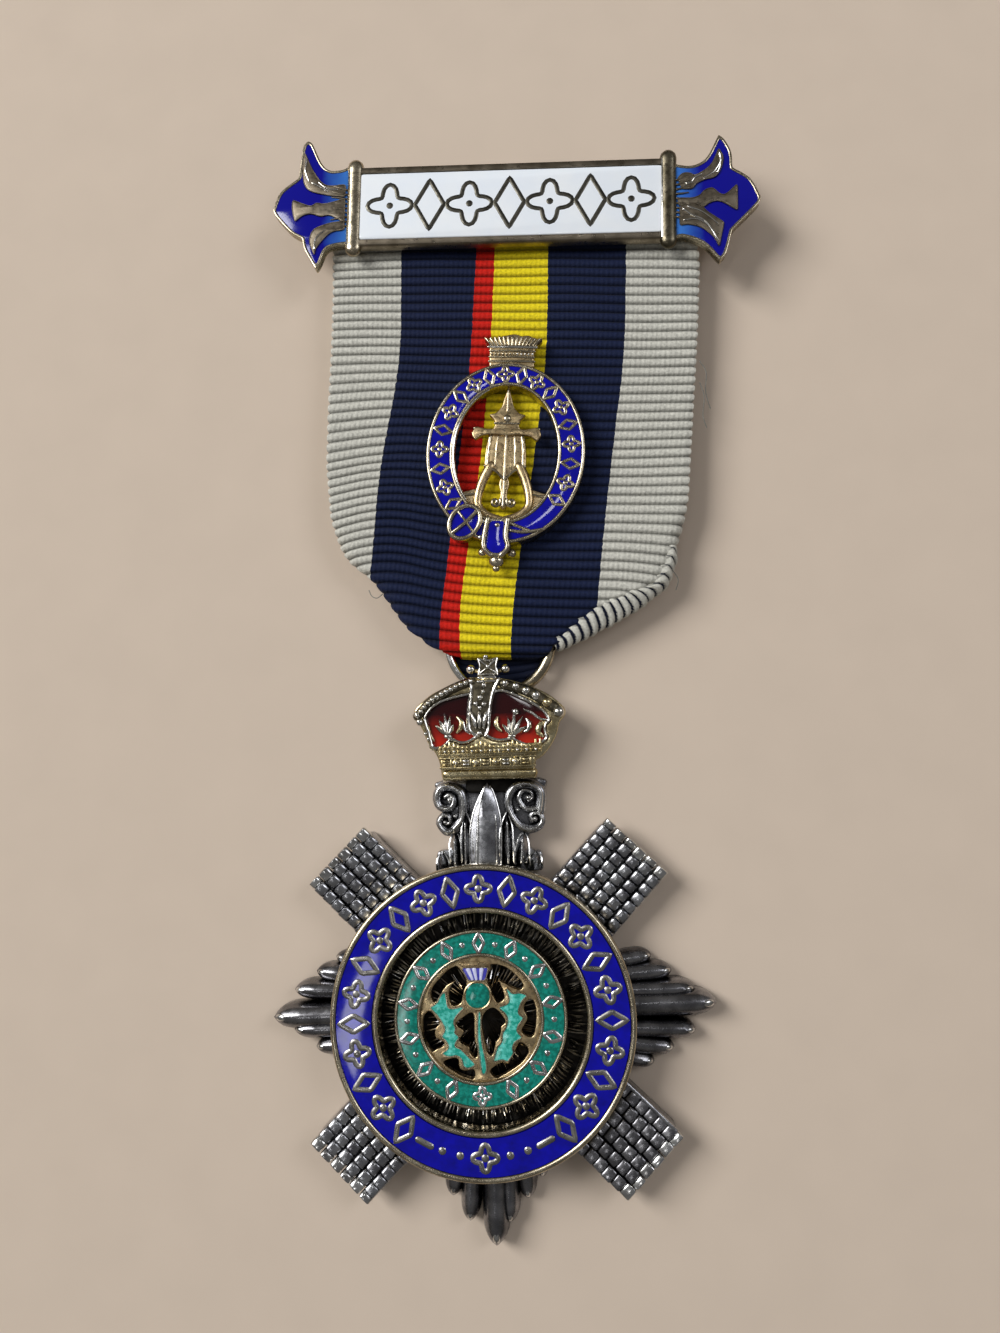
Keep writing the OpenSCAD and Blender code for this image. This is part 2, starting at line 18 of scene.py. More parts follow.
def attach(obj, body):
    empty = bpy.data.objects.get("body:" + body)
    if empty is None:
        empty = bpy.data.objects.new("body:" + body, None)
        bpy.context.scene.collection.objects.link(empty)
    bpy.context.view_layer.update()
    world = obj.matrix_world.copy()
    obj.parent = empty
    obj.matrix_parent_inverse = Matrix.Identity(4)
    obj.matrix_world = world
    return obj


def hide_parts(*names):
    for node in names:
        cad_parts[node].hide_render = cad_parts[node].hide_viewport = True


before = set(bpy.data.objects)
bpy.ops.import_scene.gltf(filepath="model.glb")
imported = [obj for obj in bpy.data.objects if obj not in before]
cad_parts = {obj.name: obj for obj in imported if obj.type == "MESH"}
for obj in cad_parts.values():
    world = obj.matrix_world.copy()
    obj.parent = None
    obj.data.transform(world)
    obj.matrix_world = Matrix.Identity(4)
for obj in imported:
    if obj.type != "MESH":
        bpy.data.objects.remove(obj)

LOG = logging.getLogger("jewel")
MM = 0.001
METRE_MM = 1000.0
Array = np.ndarray
Pair = tuple[float, float]
Socket = bpy.types.NodeSocket


# Shapes in the plane


def circle(radius: float, count: int = 160, centre: Pair = (0.0, 0.0)) -> Array:
    """Anticlockwise circle of points."""
    return ellipse(radius, radius, count, centre)


def ellipse(half_w: float, half_h: float, count: int = 160, centre: Pair = (0.0, 0.0)) -> Array:
    """Anticlockwise ellipse of points."""
    a = np.linspace(0, 2 * math.pi, count, endpoint=False)
    return np.stack([half_w * np.cos(a) + centre[0], half_h * np.sin(a) + centre[1]], 1)


def rounded_box(half_w: float, half_h: float, radius: float, per: int = 6) -> Array:
    """Outline of a box with round corners.

    Args:
        half_w: Half its width.
        half_h: Half its height.
        radius: Radius of its corners.
        per: Points on each corner.

    Returns:
        The outline, anticlockwise.
    """
    out = []
    for k, (sx, sy) in enumerate(((1, 1), (-1, 1), (-1, -1), (1, -1))):
        for a in np.linspace(k * math.pi / 2, (k + 1) * math.pi / 2, per):
            out.append((sx * (half_w - radius) + radius * math.cos(a),
                        sy * (half_h - radius) + radius * math.sin(a)))
    return np.array(out)


def placed(points: Sequence, at: Pair, turn: float = 0.0, mirror: bool = False, size: float = 1.0) -> Array:
    """Points of the plane moved into place.

    Args:
        points: Points about their own origin; a third number in a row is carried along.
        at: Where that origin goes.
        turn: Anticlockwise turn in degrees.
        mirror: Whether the shape is first mirrored left to right.
        size: Factor on its size.

    Returns:
        The moved points.
    """
    p = np.array(points, float)
    x, y = p[:, 0] * (-size if mirror else size), p[:, 1] * size
    c, s = math.cos(math.radians(turn)), math.sin(math.radians(turn))
    moved = p.copy()
    moved[:, 0], moved[:, 1] = c * x - s * y + at[0], s * x + c * y + at[1]
    return moved


def smoothed(points: Sequence, per: int = 4, closed: bool = True) -> Array:
    """Smooth curve through points. A third number above zero marks a sharp corner.

    Args:
        points: Rows of x, y and, if wanted, the corner mark.
        per: Points on each stretch.
        closed: Whether the curve closes on itself.

    Returns:
        The curve's points in the plane.
    """
    rows = [(float(r[0]), float(r[1]), len(r) > 2 and r[2] > 0) for r in points]
    n = len(rows)
    out = []
    for i in range(n if closed else n - 1):
        a, b = rows[i], rows[(i + 1) % n]
        before = rows[i - 1] if closed or i else a
        after = rows[(i + 2) % n] if closed or i + 2 < n else b
        p0, p1 = np.array(a[:2]), np.array(b[:2])
        d0 = p1 - p0 if a[2] or before is a else (p1 - np.array(before[:2])) / 2
        d1 = p1 - p0 if b[2] or after is b else (np.array(after[:2]) - p0) / 2
        for t in np.linspace(0, 1, per, endpoint=False):
            h = (2 * t**3 - 3 * t**2 + 1, t**3 - 2 * t**2 + t, 3 * t**2 - 2 * t**3, t**3 - t**2)
            out.append(h[0] * p0 + h[1] * d0 + h[2] * p1 + h[3] * d1)
    if not closed:
        out.append(np.array(rows[-1][:2]))
    return np.array(out)


def both_sides(half: Sequence) -> list[tuple]:
    """Half an outline from bottom to top at x >= 0, closed by its mirror image."""
    return list(half) + [(-r[0], *r[1:]) for r in reversed(half) if r[0] > 0]


def spiral(centre: Pair, start: float, turns: float, r0: float, r1: float, count: int = 40) -> Array:
    """Flat spiral.

    Args:
        centre: Its eye.
        start: Angle of its outer end in degrees.
        turns: Whole turns, negative for clockwise.
        r0: Radius at the outer end.
        r1: Radius at the eye.
        count: Number of points.

    Returns:
        Its points in the plane, from the outer end in.
    """
    t = np.linspace(0, 1, count)
    a = math.radians(start) + t * turns * 2 * math.pi
    r = r0 + (r1 - r0) * t
    return np.stack([centre[0] + r * np.cos(a), centre[1] + r * np.sin(a)], 1)


def outward(loop: Array) -> Array:
    """Unit normals that point out of a loop.

    Args:
        loop: Anticlockwise points.

    Returns:
        One normal for each point.
    """
    ahead = np.roll(loop, -1, 0) - np.roll(loop, 1, 0)
    ahead /= np.maximum(np.linalg.norm(ahead, axis=1, keepdims=True), 1e-9)
    return np.stack([ahead[:, 1], -ahead[:, 0]], 1)


def grown(loop: Array, distance: float) -> Array:
    """Loop moved outward, without the tangles that sharp corners would leave.

    Args:
        loop: Anticlockwise points.
        distance: How far it moves; negative moves it inward.

    Returns:
        The moved loop, which may have fewer points.
    """
    moved = loop + outward(loop) * distance
    edge = spaced(np.vstack([loop, loop[:1]]), 0.04)
    apart = np.array([np.min(np.hypot(*(edge - p).T)) for p in moved])
    return moved[apart > abs(distance) * 0.96]


def eased(loop: Array, step: float = 0.14) -> Array:
    """Loop cut again at even steps, its corners just taken off as on real metal."""
    p = spaced(np.vstack([loop[:, :2], loop[:1, :2]]), step)[:-1]
    return (np.roll(p, 1, 0) + 2 * p + np.roll(p, -1, 0)) / 4


def anticlockwise(loop: Array) -> Array:
    """The same loop, turned round if it runs clockwise."""
    x, y = loop[:, 0], loop[:, 1]
    return loop if np.sum(x * np.roll(y, -1) - y * np.roll(x, -1)) > 0 else loop[::-1]


def open_curve(points: Sequence, per: int = 6) -> Array:
    """Smooth curve from the first point to the last."""
    return smoothed(points, per, closed=False)


def closed_curve(points: Sequence, per: int = 4) -> Array:
    """Smooth anticlockwise loop through points."""
    return anticlockwise(smoothed(points, per))


def raised(points: Array, z: float | Array) -> Array:
    """Plane points given a height."""
    p = np.asarray(points, float)[:, :2]
    return np.column_stack([p, np.broadcast_to(z, len(p))])


def resampled(points: Array, count: int) -> Array:
    """Open curve cut again at even steps.

    Args:
        points: Its points.
        count: How many points it gets.

    Returns:
        The new points.
    """
    p = np.asarray(points, float)
    along = np.concatenate([[0], np.cumsum(np.linalg.norm(np.diff(p, axis=0), axis=1))])
    marks = np.linspace(0, along[-1], count)
    return np.stack([np.interp(marks, along, p[:, k]) for k in range(p.shape[1])], 1)


def spaced(points: Array, step: float) -> Array:
    """Open curve cut again at even steps of about this length."""
    p = np.asarray(points, float)
    return resampled(p, max(2, round(np.sum(np.linalg.norm(np.diff(p, axis=0), axis=1)) / step) + 1))


def between(left: Sequence, right: Sequence, count: int) -> tuple[Array, Array]:
    """Middle line and half width of a leaf between its two edges.

    Args:
        left: Points of one edge from the root up.
        right: Points of the other edge.
        count: Number of points wanted.

    Returns:
        The middle line, and half the width at each of its points.
    """
    a, b = (resampled(open_curve(edge), count) for edge in (left, right))
    return (a + b) / 2, np.linalg.norm(a - b, axis=1) / 2


def rounded_table(table: Sequence, window: float) -> Array:
    """Table of values by height, with its kinks rounded off.

    Args:
        table: Rows of a height and its values.
        window: Reach of the rounding on each side, in millimetres.

    Returns:
        A denser table.
    """
    rows, step = np.array(table), 0.1
    height = np.arange(rows[0, 0], rows[-1, 0] + step, step)
    reach = round(window / step)
    spread = np.ones(2 * reach + 1) / (2 * reach + 1)
    columns = [np.convolve(np.pad(np.interp(height, rows[:, 0], rows[:, k]), reach, "reflect",
                                  reflect_type="odd"), spread, "valid") for k in range(1, rows.shape[1])]
    return np.stack([height, *columns], 1)


# Materials and finishes


def linear(hex_colour: str) -> tuple[float, float, float, float]:
    """Turns an sRGB hex value into the linear colour that a shader takes."""
    parts = [int(hex_colour[i:i + 2], 16) / 255 for i in (1, 3, 5)]
    return (*[c / 12.92 if c <= 0.04045 else ((c + 0.055) / 1.055) ** 2.4 for c in parts], 1.0)


@dataclass(frozen=True)
class Graph:
    """Shader nodes of one material, with short ways to add the kinds that the finishes share."""

    tree: bpy.types.NodeTree

    def fill(self, made: bpy.types.Node, values: dict) -> None:
        """Fills a node's inputs.

        Args:
            made: The node.
            values: Input name or number to a value, or to the output that is linked to it.
        """
        for key, value in values.items():
            if isinstance(value, Socket):
                self.tree.links.new(value, made.inputs[key])
            else:
                made.inputs[key].default_value = value

    def node(self, kind: str, values: dict | None = None, **settings) -> bpy.types.Node:
        """Adds a node with its settings and links.

        Args:
            kind: The node's type, without the prefix that all types share.
            values: Input name or number to a value, or to the output that is linked to it.
            settings: The node's own properties.

        Returns:
            The new node.
        """
        made = self.tree.nodes.new("ShaderNode" + kind)
        for name, value in settings.items():
            setattr(made, name, value)
        self.fill(made, values or {})
        return made

    def place(self) -> Socket:
        """Position on the object, in metres of the model's frame."""
        return self.node("TexCoord").outputs["Object"]

    def noise(self, place: Socket, size_mm: float, detail: float) -> Socket:
        """Noise whose features are this many millimetres across."""
        scale = METRE_MM / size_mm
        return self.node("TexNoise", {"Vector": place, "Scale": scale, "Detail": detail}).outputs["Fac"]

    def spread(self, value: Socket, low: float, high: float, *ends: float) -> Socket:
        """Value spread from one range onto another, which is 0 to 1 unless its ends are given."""
        inputs = zip(("From Min", "From Max", "To Min", "To Max"), (low, high, *ends))
        return self.node("MapRange", {"Value": value, **dict(inputs)}).outputs["Result"]

    def blend(self, share: Socket, low: str, high: str | Socket) -> Socket:
        """Colour between two hex values; the second may be an output instead."""
        values = {"Factor": share, "A": linear(low), "B": high if isinstance(high, Socket) else linear(high)}
        return self.node("Mix", values, data_type="RGBA").outputs["Result"]

    def math(self, operation: str, *values: float | Socket) -> Socket:
        """Result of one of Blender's sums on these values."""
        return self.node("Math", dict(enumerate(values)), operation=operation).outputs["Value"]

    def dimmed(self, colour: Sequence[float] | Socket, factor: Socket) -> Socket:
        """Colour times a factor."""
        return self.node("VectorMath", {0: colour, 3: factor}, operation="SCALE").outputs["Vector"]

    def bump(self, height: Socket, strength: float, depth_mm: float) -> Socket:
        """Normal of a surface that is rough to this depth."""
        values = {"Height": height, "Strength": strength, "Distance": depth_mm * MM}
        return self.node("Bump", values).outputs["Normal"]


@dataclass(frozen=True)
class Finish:
    """Surface of one real material. A subclass paints it."""

    name: str
    slot: str

    def material(self) -> bpy.types.Material:
        """Makes the material once, and then shares it.

        Returns:
            The material.
        """
        name = f"{self.name}_finish"
        if name in bpy.data.materials:
            return bpy.data.materials[name]
        made = bpy.data.materials.new(name)
        made.use_nodes = True
        graph = Graph(made.node_tree)
        graph.fill(graph.tree.nodes["Principled BSDF"], self.paint(graph))
        return made

    def paint(self, graph: Graph) -> dict:
        """Colour and surface, as inputs of the surface shader."""
        raise NotImplementedError


@dataclass(frozen=True)
class WornMetal(Finish):
    """Silver or silver-gilt, cast or struck: bright where it is rubbed, dark in its recesses, which is partly
    the silver's oxide and partly painted shade.
    """

    bright: str
    dark: str
    tarnish: str
    roughness: float
    recess_mm: float = 0.7
    recess_low: float = 0.25
    recess_high: float = 0.85
    blotch_mm: float = 1.6

    def paint(self, graph: Graph) -> dict:
        """Paints tarnish, fine scratches, and dark recesses that are partly oxide and partly painted shade.

        Args:
            graph: The material's nodes.

        Returns:
            Inputs of the surface shader.
        """
        place = graph.place()
        # Tarnish lies in soft blotches a millimetre or two across
        patch = graph.spread(graph.noise(place, self.blotch_mm, 4.0), 0.35, 0.68)
        skin = graph.blend(patch, self.bright, self.tarnish)
        # Recesses darken by ambient occlusion: partly the black oxide that the silver keeps in its hollows,
        # partly painted shade
        sky = graph.node("AmbientOcclusion", {"Distance": self.recess_mm * MM}, samples=14).outputs["AO"]
        tone = graph.blend(graph.spread(sky, self.recess_low, self.recess_high), self.dark, skin)
        # Handling leaves scratches about 0.1 mm wide, drawn at 0.4 mm so that they show
        wear = graph.noise(place, 0.4, 1.5)
        matt = graph.spread(wear, 0.3, 0.7, self.roughness * 0.75, self.roughness * 1.4)
        return {"Base Color": tone, "Roughness": matt, "Normal": graph.bump(wear, 0.06, 0.05),
                "Metallic": 1.0}


class Shade(Enum):
    """How the glass of an enamel changes across its field."""

    CLOUDED = "clouded"
    FALLING = "falling"
    FROM_COLLAR = "from collar"


@dataclass(frozen=True)
class VitreousEnamel(Finish):
    """Powdered glass fired on metal and stoned flat: deep colour under a hard, faintly rippled gloss.

    The span is where one colour turns into the other: values of the noise where the glass is clouded,
    and millimetres otherwise.
    """

    colour: str
    second: str
    shade: Shade = Shade.CLOUDED
    grain_mm: float = 0.9
    span: tuple[float, float] = (0.3, 0.75)
    gloss: float = 0.09

    def paint(self, graph: Graph) -> dict:
        """Paints the glass and its ripple.

        Args:
            graph: The material's nodes.

        Returns:
            Inputs of the surface shader.
        """
        place = graph.place()
        cloud = graph.noise(place, self.grain_mm, 3.0)
        if self.shade is Shade.CLOUDED:
            mask = graph.spread(cloud, *self.span)
        else:
            axes = graph.node("SeparateXYZ", {"Vector": place}).outputs
            if self.shade is Shade.FALLING:
                # Darker towards the top
                source = axes["Y"]
            else:
                # Thin glass near the collars lets the metal through
                source = graph.math("ABSOLUTE", graph.math("SUBTRACT", axes["X"], BAR_CENTRE[0] * MM))
            shaken = graph.math("MULTIPLY_ADD", cloud, 1.2 * MM, source)
            mask = graph.spread(shaken, self.span[0] * MM, self.span[1] * MM)
        ripple = graph.noise(place, 1.4, 1.0)
        return {"Base Color": graph.blend(mask, self.colour, self.second), "Roughness": self.gloss,
                "Normal": graph.bump(ripple, 0.12, 0.03), "IOR": 1.52}


@dataclass(frozen=True)
class CordedSilk(Finish):
    """Silk ribbon woven with thick cross ribs: fine warp threads cover the ribs and carry the stripes."""

    stripes: tuple[tuple[float, str], ...]
    thread_scale: float = 150.0 / 6.283

    def paint(self, graph: Graph) -> dict:
        """Paints the stripes, the threads and the shade between the ribs.

        Args:
            graph: The material's nodes.

        Returns:
            Inputs of the surface shader.
        """
        cloth = graph.node("UVMap").outputs["UV"]
        axes = graph.node("SeparateXYZ", {"Vector": cloth}).outputs
        place = graph.place()
        # Warp threads step in and out by about one thread at each rib, so the stripes have rough edges
        across = graph.math("MULTIPLY_ADD", graph.noise(place, 0.5, 2.0), 0.006, axes["X"])
        ramp = graph.node("ValToRGB", {"Fac": across})
        band = ramp.color_ramp
        band.interpolation = "CONSTANT"
        while len(band.elements) < len(self.stripes):
            band.elements.new(1.0)
        for element, (start, colour) in zip(band.elements, self.stripes):
            element.position = start
            element.color = linear(colour)
        # Threads are 0.1 mm apart, drawn wider so that they show
        wave = {"Vector": cloth, "Scale": self.thread_scale, "Distortion": 0.4, "Detail": 1.0,
                "Detail Scale": 3.0}
        thread = graph.node("TexWave", wave, bands_direction="X").outputs["Fac"]
        fibre = graph.noise(place, 0.22, 4.0)
        # Painted shade darkens the valley between two ribs
        rib = graph.math("FRACT", axes["Y"])
        valley = graph.math("ABSOLUTE", graph.math("SUBTRACT", rib, 0.5))
        light = graph.spread(valley, 0.22, 0.5, 1.0, 0.35)
        flecks = graph.spread(fibre, 0.3, 0.7, 0.78, 1.18)
        tone = graph.dimmed(ramp.outputs["Color"], graph.math("MULTIPLY", light, flecks))
        height = graph.math("MULTIPLY_ADD", thread, 0.6, fibre)
        return {"Base Color": tone, "Normal": graph.bump(height, 0.55, 0.08), "Roughness": 0.72,
                "Specular IOR Level": 0.2, "Sheen Weight": 0.06, "Sheen Roughness": 0.4}


@dataclass(frozen=True)
class MattBoard(Finish):
    """Plain painted board that the jewel lies on: pale, flat and without gloss."""

    colour: str = "#D5C4B2"

    def paint(self, graph: Graph) -> dict:
        """Paints the flat colour.

        Args:
            graph: The material's nodes.

        Returns:
            Inputs of the surface shader.
        """
        soft = graph.spread(graph.noise(graph.place(), 6.0, 5.0), 0.0, 1.0, 0.96, 1.04)
        tone = graph.dimmed(linear(self.colour)[:3], soft)
        return {"Base Color": tone, "Roughness": 0.85, "Specular IOR Level": 0.2}


BAR_CENTRE: Pair = (4.2, 77.2)
BAR_TURN = -2.6
MEDALLION_AT: Pair = (-0.85, -0.35)
OXIDISED = WornMetal(
    "oxidised_silver", "oxidised_silver", bright="#C2C3C6", dark="#141416", tarnish="#7C7B7F", roughness=0.24,
    recess_low=0.2, recess_high=0.82)
# Darker copy of the oxidised silver for the leaf arms and the lower right arm: painted shade
SHADED_SILVER = WornMetal(
    "shaded_oxidised_silver", "oxidised_silver", bright="#98979A", dark="#101011", tarnish="#5E5D60",
    roughness=0.24, recess_low=0.2, recess_high=0.82)
# Blackened silver of the dish; on the plate under the crown it is painted shadow
BLACKENED_AND_SHADOW = WornMetal(
    "blackened_silver_and_shadow", "oxidised_silver", bright="#34322F", dark="#0A0A0A", tarnish="#1E1C1A",
    roughness=0.45)
BRISTLE = WornMetal(
    "worn_bristle", "oxidised_silver", bright="#C8C2B6", dark="#302E2C", tarnish="#7A746A", roughness=0.36,
    recess_mm=0.3)
# Rubbed silver: real wear, and painted highlight on the leaf tips, the neck's raised edges and the lower
# right arm's rail
RUBBED_AND_HIGHLIGHT = WornMetal(
    "rubbed_silver_and_highlight", "oxidised_silver", bright="#E4E4E2", dark="#5A5856", tarnish="#A8A6A4", roughness=0.2,
    recess_mm=0.3, recess_low=0.0, recess_high=0.45)
GILT = WornMetal(
    "silver_gilt", "silver_gilt", bright="#C8BDA4", dark="#4A4338", tarnish="#9C907A", roughness=0.24,
    recess_mm=0.4, recess_low=0.0, recess_high=0.5)
WIRE = WornMetal(
    "inlaid_wire", "silver_gilt", bright="#B8B4AE", dark="#504E4A", tarnish="#8E8B85", roughness=0.3,
    recess_mm=0.3, recess_low=0.0, recess_high=0.4)
BRONZED = WornMetal(
    "bronzed_gilt", "silver_gilt", bright="#D0BA90", dark="#6A5838", tarnish="#B49A72", roughness=0.28,
    recess_mm=0.3, recess_low=0.0, recess_high=0.4, blotch_mm=0.9)
DULL_GILT = WornMetal(
    "dull_gilt", "silver_gilt", bright="#968B7A", dark="#2A261F", tarnish="#706656", roughness=0.34,
    recess_low=0.1, recess_high=0.6)
BRIGHT_GILT = WornMetal(
    "bright_gilt", "bright_gilt", bright="#DED0A8", dark="#443820", tarnish="#B4A276", roughness=0.22,
    recess_mm=0.3, recess_low=0.0, recess_high=0.5, blotch_mm=1.1)
# Polished silver; as glints on the bar's collars, the badge's left inner rim and one crown arc it is painted
# highlight
BRIGHT_SILVER_AND_GLINT = WornMetal(
    "polished_silver_and_glint", "bright_gilt", bright="#ECEAE6", dark="#5A564E", tarnish="#C6C2B6", roughness=0.16,
    recess_mm=0.3, recess_low=0.0, recess_high=0.45)
# Darker gilt; on the right collar it is painted shade, standing for the dark that the collar mirrors
SMOKED_AND_SHADED = WornMetal(
    "smoked_gilt_and_shade", "silver_gilt", bright="#7A7260", dark="#1A1812", tarnish="#4E4838", roughness=0.3,
    recess_mm=0.4, recess_low=0.1, recess_high=0.7)
ENGRAVED = WornMetal(
    "darkened_line", "silver_gilt", bright="#5A574E", dark="#2A2824", tarnish="#45433C", roughness=0.4)
BLUE = VitreousEnamel("royal_blue_enamel", "blue_enamel", colour="#0807A8", second="#060582", gloss=0.06)
FLEUR_BLUE = VitreousEnamel(
    "shaded_blue_enamel", "blue_enamel", colour="#3A78CC", second="#05058E", shade=Shade.FROM_COLLAR,
    grain_mm=1.2, span=(17.0, 19.4))
GREEN = VitreousEnamel(
    "green_enamel", "green_enamel", colour="#066A5C", second="#149080", grain_mm=0.3, span=(0.42, 0.64),
    gloss=0.12)
TURQUOISE = VitreousEnamel(
    "turquoise_enamel", "turquoise_enamel", colour="#1E9C88", second="#62D0C2", grain_mm=0.3,
    span=(0.42, 0.64), gloss=0.14)
VIOLET = VitreousEnamel("violet_enamel", "violet_enamel", colour="#3A3AA8", second="#5A5AC0", grain_mm=0.5)
PALE_VIOLET = VitreousEnamel(
    "pale_violet_enamel", "violet_enamel", colour="#E2E4FA", second="#C4C8F0", grain_mm=0.4)
RED = VitreousEnamel(
    "ruby_enamel", "red_enamel", colour="#BC2A18", second="#2A0507", shade=Shade.FALLING, grain_mm=1.2,
    span=(24.6, 27.6), gloss=0.07)
WHITE = VitreousEnamel("white_enamel", "white_enamel", colour="#F8FCFF", second="#F0F7FF", grain_mm=3.0)
GREY_SILK, NAVY_SILK = "#CFCDC2", "#111C3C"
RED_SILK, YELLOW_SILK = "#D01C0E", "#F0DA1E"
STRIPES = ((0.0, GREY_SILK), (0.193, NAVY_SILK), (0.400, RED_SILK), (0.452, YELLOW_SILK), (0.596, NAVY_SILK),
           (0.805, GREY_SILK))
SILK = CordedSilk("corded_silk", "ribbon_silk", stripes=STRIPES)
BOARD = MattBoard("matt_board", "")


# Mesh making


def power(values: Array, exponent: float) -> Array:
    """Signed power, which squares a round shape off."""
    return np.sign(values) * np.abs(values) ** exponent


@dataclass
class Shell:
    """Faces of one piece, gathered in millimetres and built as one mesh."""

    points: list[Array] = field(default_factory=list)
    faces: list[tuple] = field(default_factory=list)
    slots: list[int] = field(default_factory=list)
    uvs: list[Array] = field(default_factory=list)
    count: int = 0

    def add(self, points: Array, faces: Iterable[Sequence[int]], slot: int = 0,
            uv: Array | None = None) -> None:
        """Takes in points and faces.

        Args:
            points: Rows of x, y, z.
            faces: Point numbers of each face.
            slot: Which of the piece's finishes they have.
            uv: Cloth coordinates of the points.
        """
        base = self.count
        p = np.asarray(points, float)
        # A closed skin whose volume comes out negative is inside out
        fan = np.array([(f[0], f[k], f[k + 1]) for f in faces for k in range(1, len(f) - 1)])
        inside_out = np.sum(p[fan[:, 0]] * np.cross(p[fan[:, 1]], p[fan[:, 2]])) < 0
        made = [tuple(int(i) + base for i in (reversed(f) if inside_out else f)) for f in faces]
        self.points.append(p)
        self.faces += made
        self.slots += [slot] * len(made)
        self.uvs.append(np.zeros((len(points), 2)) if uv is None else uv)
        self.count += len(points)

    def sheet(self, grid: Array, rows_close: bool = False, columns_close: bool = True, capped: bool = False,
              slot: int = 0, uv: Array | None = None) -> None:
        """Takes in a grid of points as a skin of four-sided faces.

        Args:
            grid: Rows by columns by 3.
            rows_close: Whether the last row joins the first.
            columns_close: Whether the last column joins the first.
            capped: Whether the first and last rows are closed with fans.
            slot: Which finish it has.
            uv: Rows by columns by 2, the cloth coordinates.
        """
        rows, columns = grid.shape[:2]
        numbers = np.arange(rows * columns).reshape(rows, columns)
        down = np.concatenate([numbers, numbers[:1]]) if rows_close else numbers
        wide = np.concatenate([down, down[:, :1]], 1) if columns_close else down
        faces = np.stack(
            [wide[:-1, :-1], wide[:-1, 1:], wide[1:, 1:], wide[1:, :-1]], -1).reshape(-1, 4).tolist()
        points = grid.reshape(-1, 3)
        if capped:
            points = np.vstack([points, grid[0].mean(0), grid[-1].mean(0)])
            first, last = rows * columns, rows * columns + 1
            for i in range(columns):
                j = (i + 1) % columns
                faces += [(first, numbers[0, j], numbers[0, i]), (last, numbers[-1, i], numbers[-1, j])]
            uv = None
        self.add(points, faces, slot, None if uv is None else uv.reshape(-1, 2))

    def lane(self, inner: Array, outer: Array, profile: Sequence[tuple[float, float, float]],
             slot: int = 0) -> None:
        """Carries a closed profile round the lane between two loops of equal count.

        Args:
            inner: Anticlockwise inner loop.
            outer: Anticlockwise outer loop.
            profile: Closed rows of share from the inner to the outer loop, outward distance, and height.
            slot: Which finish it has.
        """
        shape = np.array(profile, float)
        share, away = shape[None, :, :1], shape[None, :, 1:2]
        near = inner[:, None, :] + outward(inner)[:, None, :] * away
        far = outer[:, None, :] + outward(outer)[:, None, :] * away
        grid = np.empty((len(inner), len(shape), 3))
        grid[:, :, :2] = near * (1 - share) + far * share
        grid[:, :, 2] = shape[None, :, 2]
        self.sheet(grid, rows_close=True, slot=slot)

    def tube(self, path: Array, radius: float | Array, sides: int = 8, flat: float = 1.0, slot: int = 0,
             closed: bool = False) -> None:
        """Round rod along a path, with round ends.

        Args:
            path: Rows of x, y, z.
            radius: One radius, or one for each point.
            sides: Faces round the rod.
            flat: Factor on its height.
            slot: Which finish it has.
            closed: Whether the path closes on itself.
        """
        p = np.asarray(path, float)
        r = np.array(np.broadcast_to(radius, len(p)), float)
        if closed:
            t = np.roll(p, -1, 0) - np.roll(p, 1, 0)
        else:
            t = np.gradient(p, axis=0)
        t /= np.linalg.norm(t, axis=1, keepdims=True)
        if not closed:
            ends = np.radians((88.0, 60.0, 30.0))
            head = [p[0] - t[0] * r[0] * math.sin(a) for a in ends]
            tail = [p[-1] + t[-1] * r[-1] * math.sin(a) for a in reversed(ends)]
            p = np.vstack([head, p, tail])
            r = np.concatenate([r[0] * np.cos(ends), r, r[-1] * np.cos(ends[::-1])])
            t = np.vstack([[t[0]] * 3, t, [t[-1]] * 3])
        side = np.cross((0.0, 0.0, 1.0), t)
        length = np.linalg.norm(side, axis=1, keepdims=True)
        side = np.where(length < 1e-6, (1.0, 0.0, 0.0), side / np.maximum(length, 1e-9))
        lift = np.cross(t, side)
        a = np.linspace(0, 2 * math.pi, sides, endpoint=False)[None, :, None]
        ring = np.cos(a) * side[:, None, :] + flat * np.sin(a) * lift[:, None, :]
        self.sheet(p[:, None, :] + r[:, None, None] * ring, rows_close=closed, capped=not closed, slot=slot)

    def wire(self, points: Array, z: float | Array, radius: float | Array, **shape) -> None:
        """Round rod along plane points at this height, otherwise as tube makes it."""
        self.tube(raised(points, z), radius, **shape)

    def pebble(self, centre: Sequence[float], size: Sequence[float], turn: float = 0.0, square: float = 1.0,
               tilt: Pair = (0.0, 0.0), rows: int = 8, columns: int = 12, slot: int = 0) -> None:
        """Rounded lump, from a ball to a soft brick.

        Args:
            centre: Its middle.
            size: Its three half sizes.
            turn: Turn about the upright axis in degrees.
            square: 1 for round, less for squarer.
            tilt: Small lean along and across it, in radians.
            rows: Faces from bottom to top.
            columns: Faces round it.
            slot: Which finish it has.
        """
        v = np.linspace(-math.pi / 2, math.pi / 2, rows + 1)[:, None]
        u = np.linspace(0, 2 * math.pi, columns, endpoint=False)[None, :]
        x = size[0] * power(np.cos(v), square) * power(np.cos(u), square)
        y = size[1] * power(np.cos(v), square) * power(np.sin(u), square)
        z = size[2] * power(np.sin(v), square) * np.ones_like(u) + tilt[0] * x + tilt[1] * y
        c, s = math.cos(math.radians(turn)), math.sin(math.radians(turn))
        self.sheet(np.stack([c * x - s * y + centre[0], s * x + c * y + centre[1], z + centre[2]], -1),
                   slot=slot)

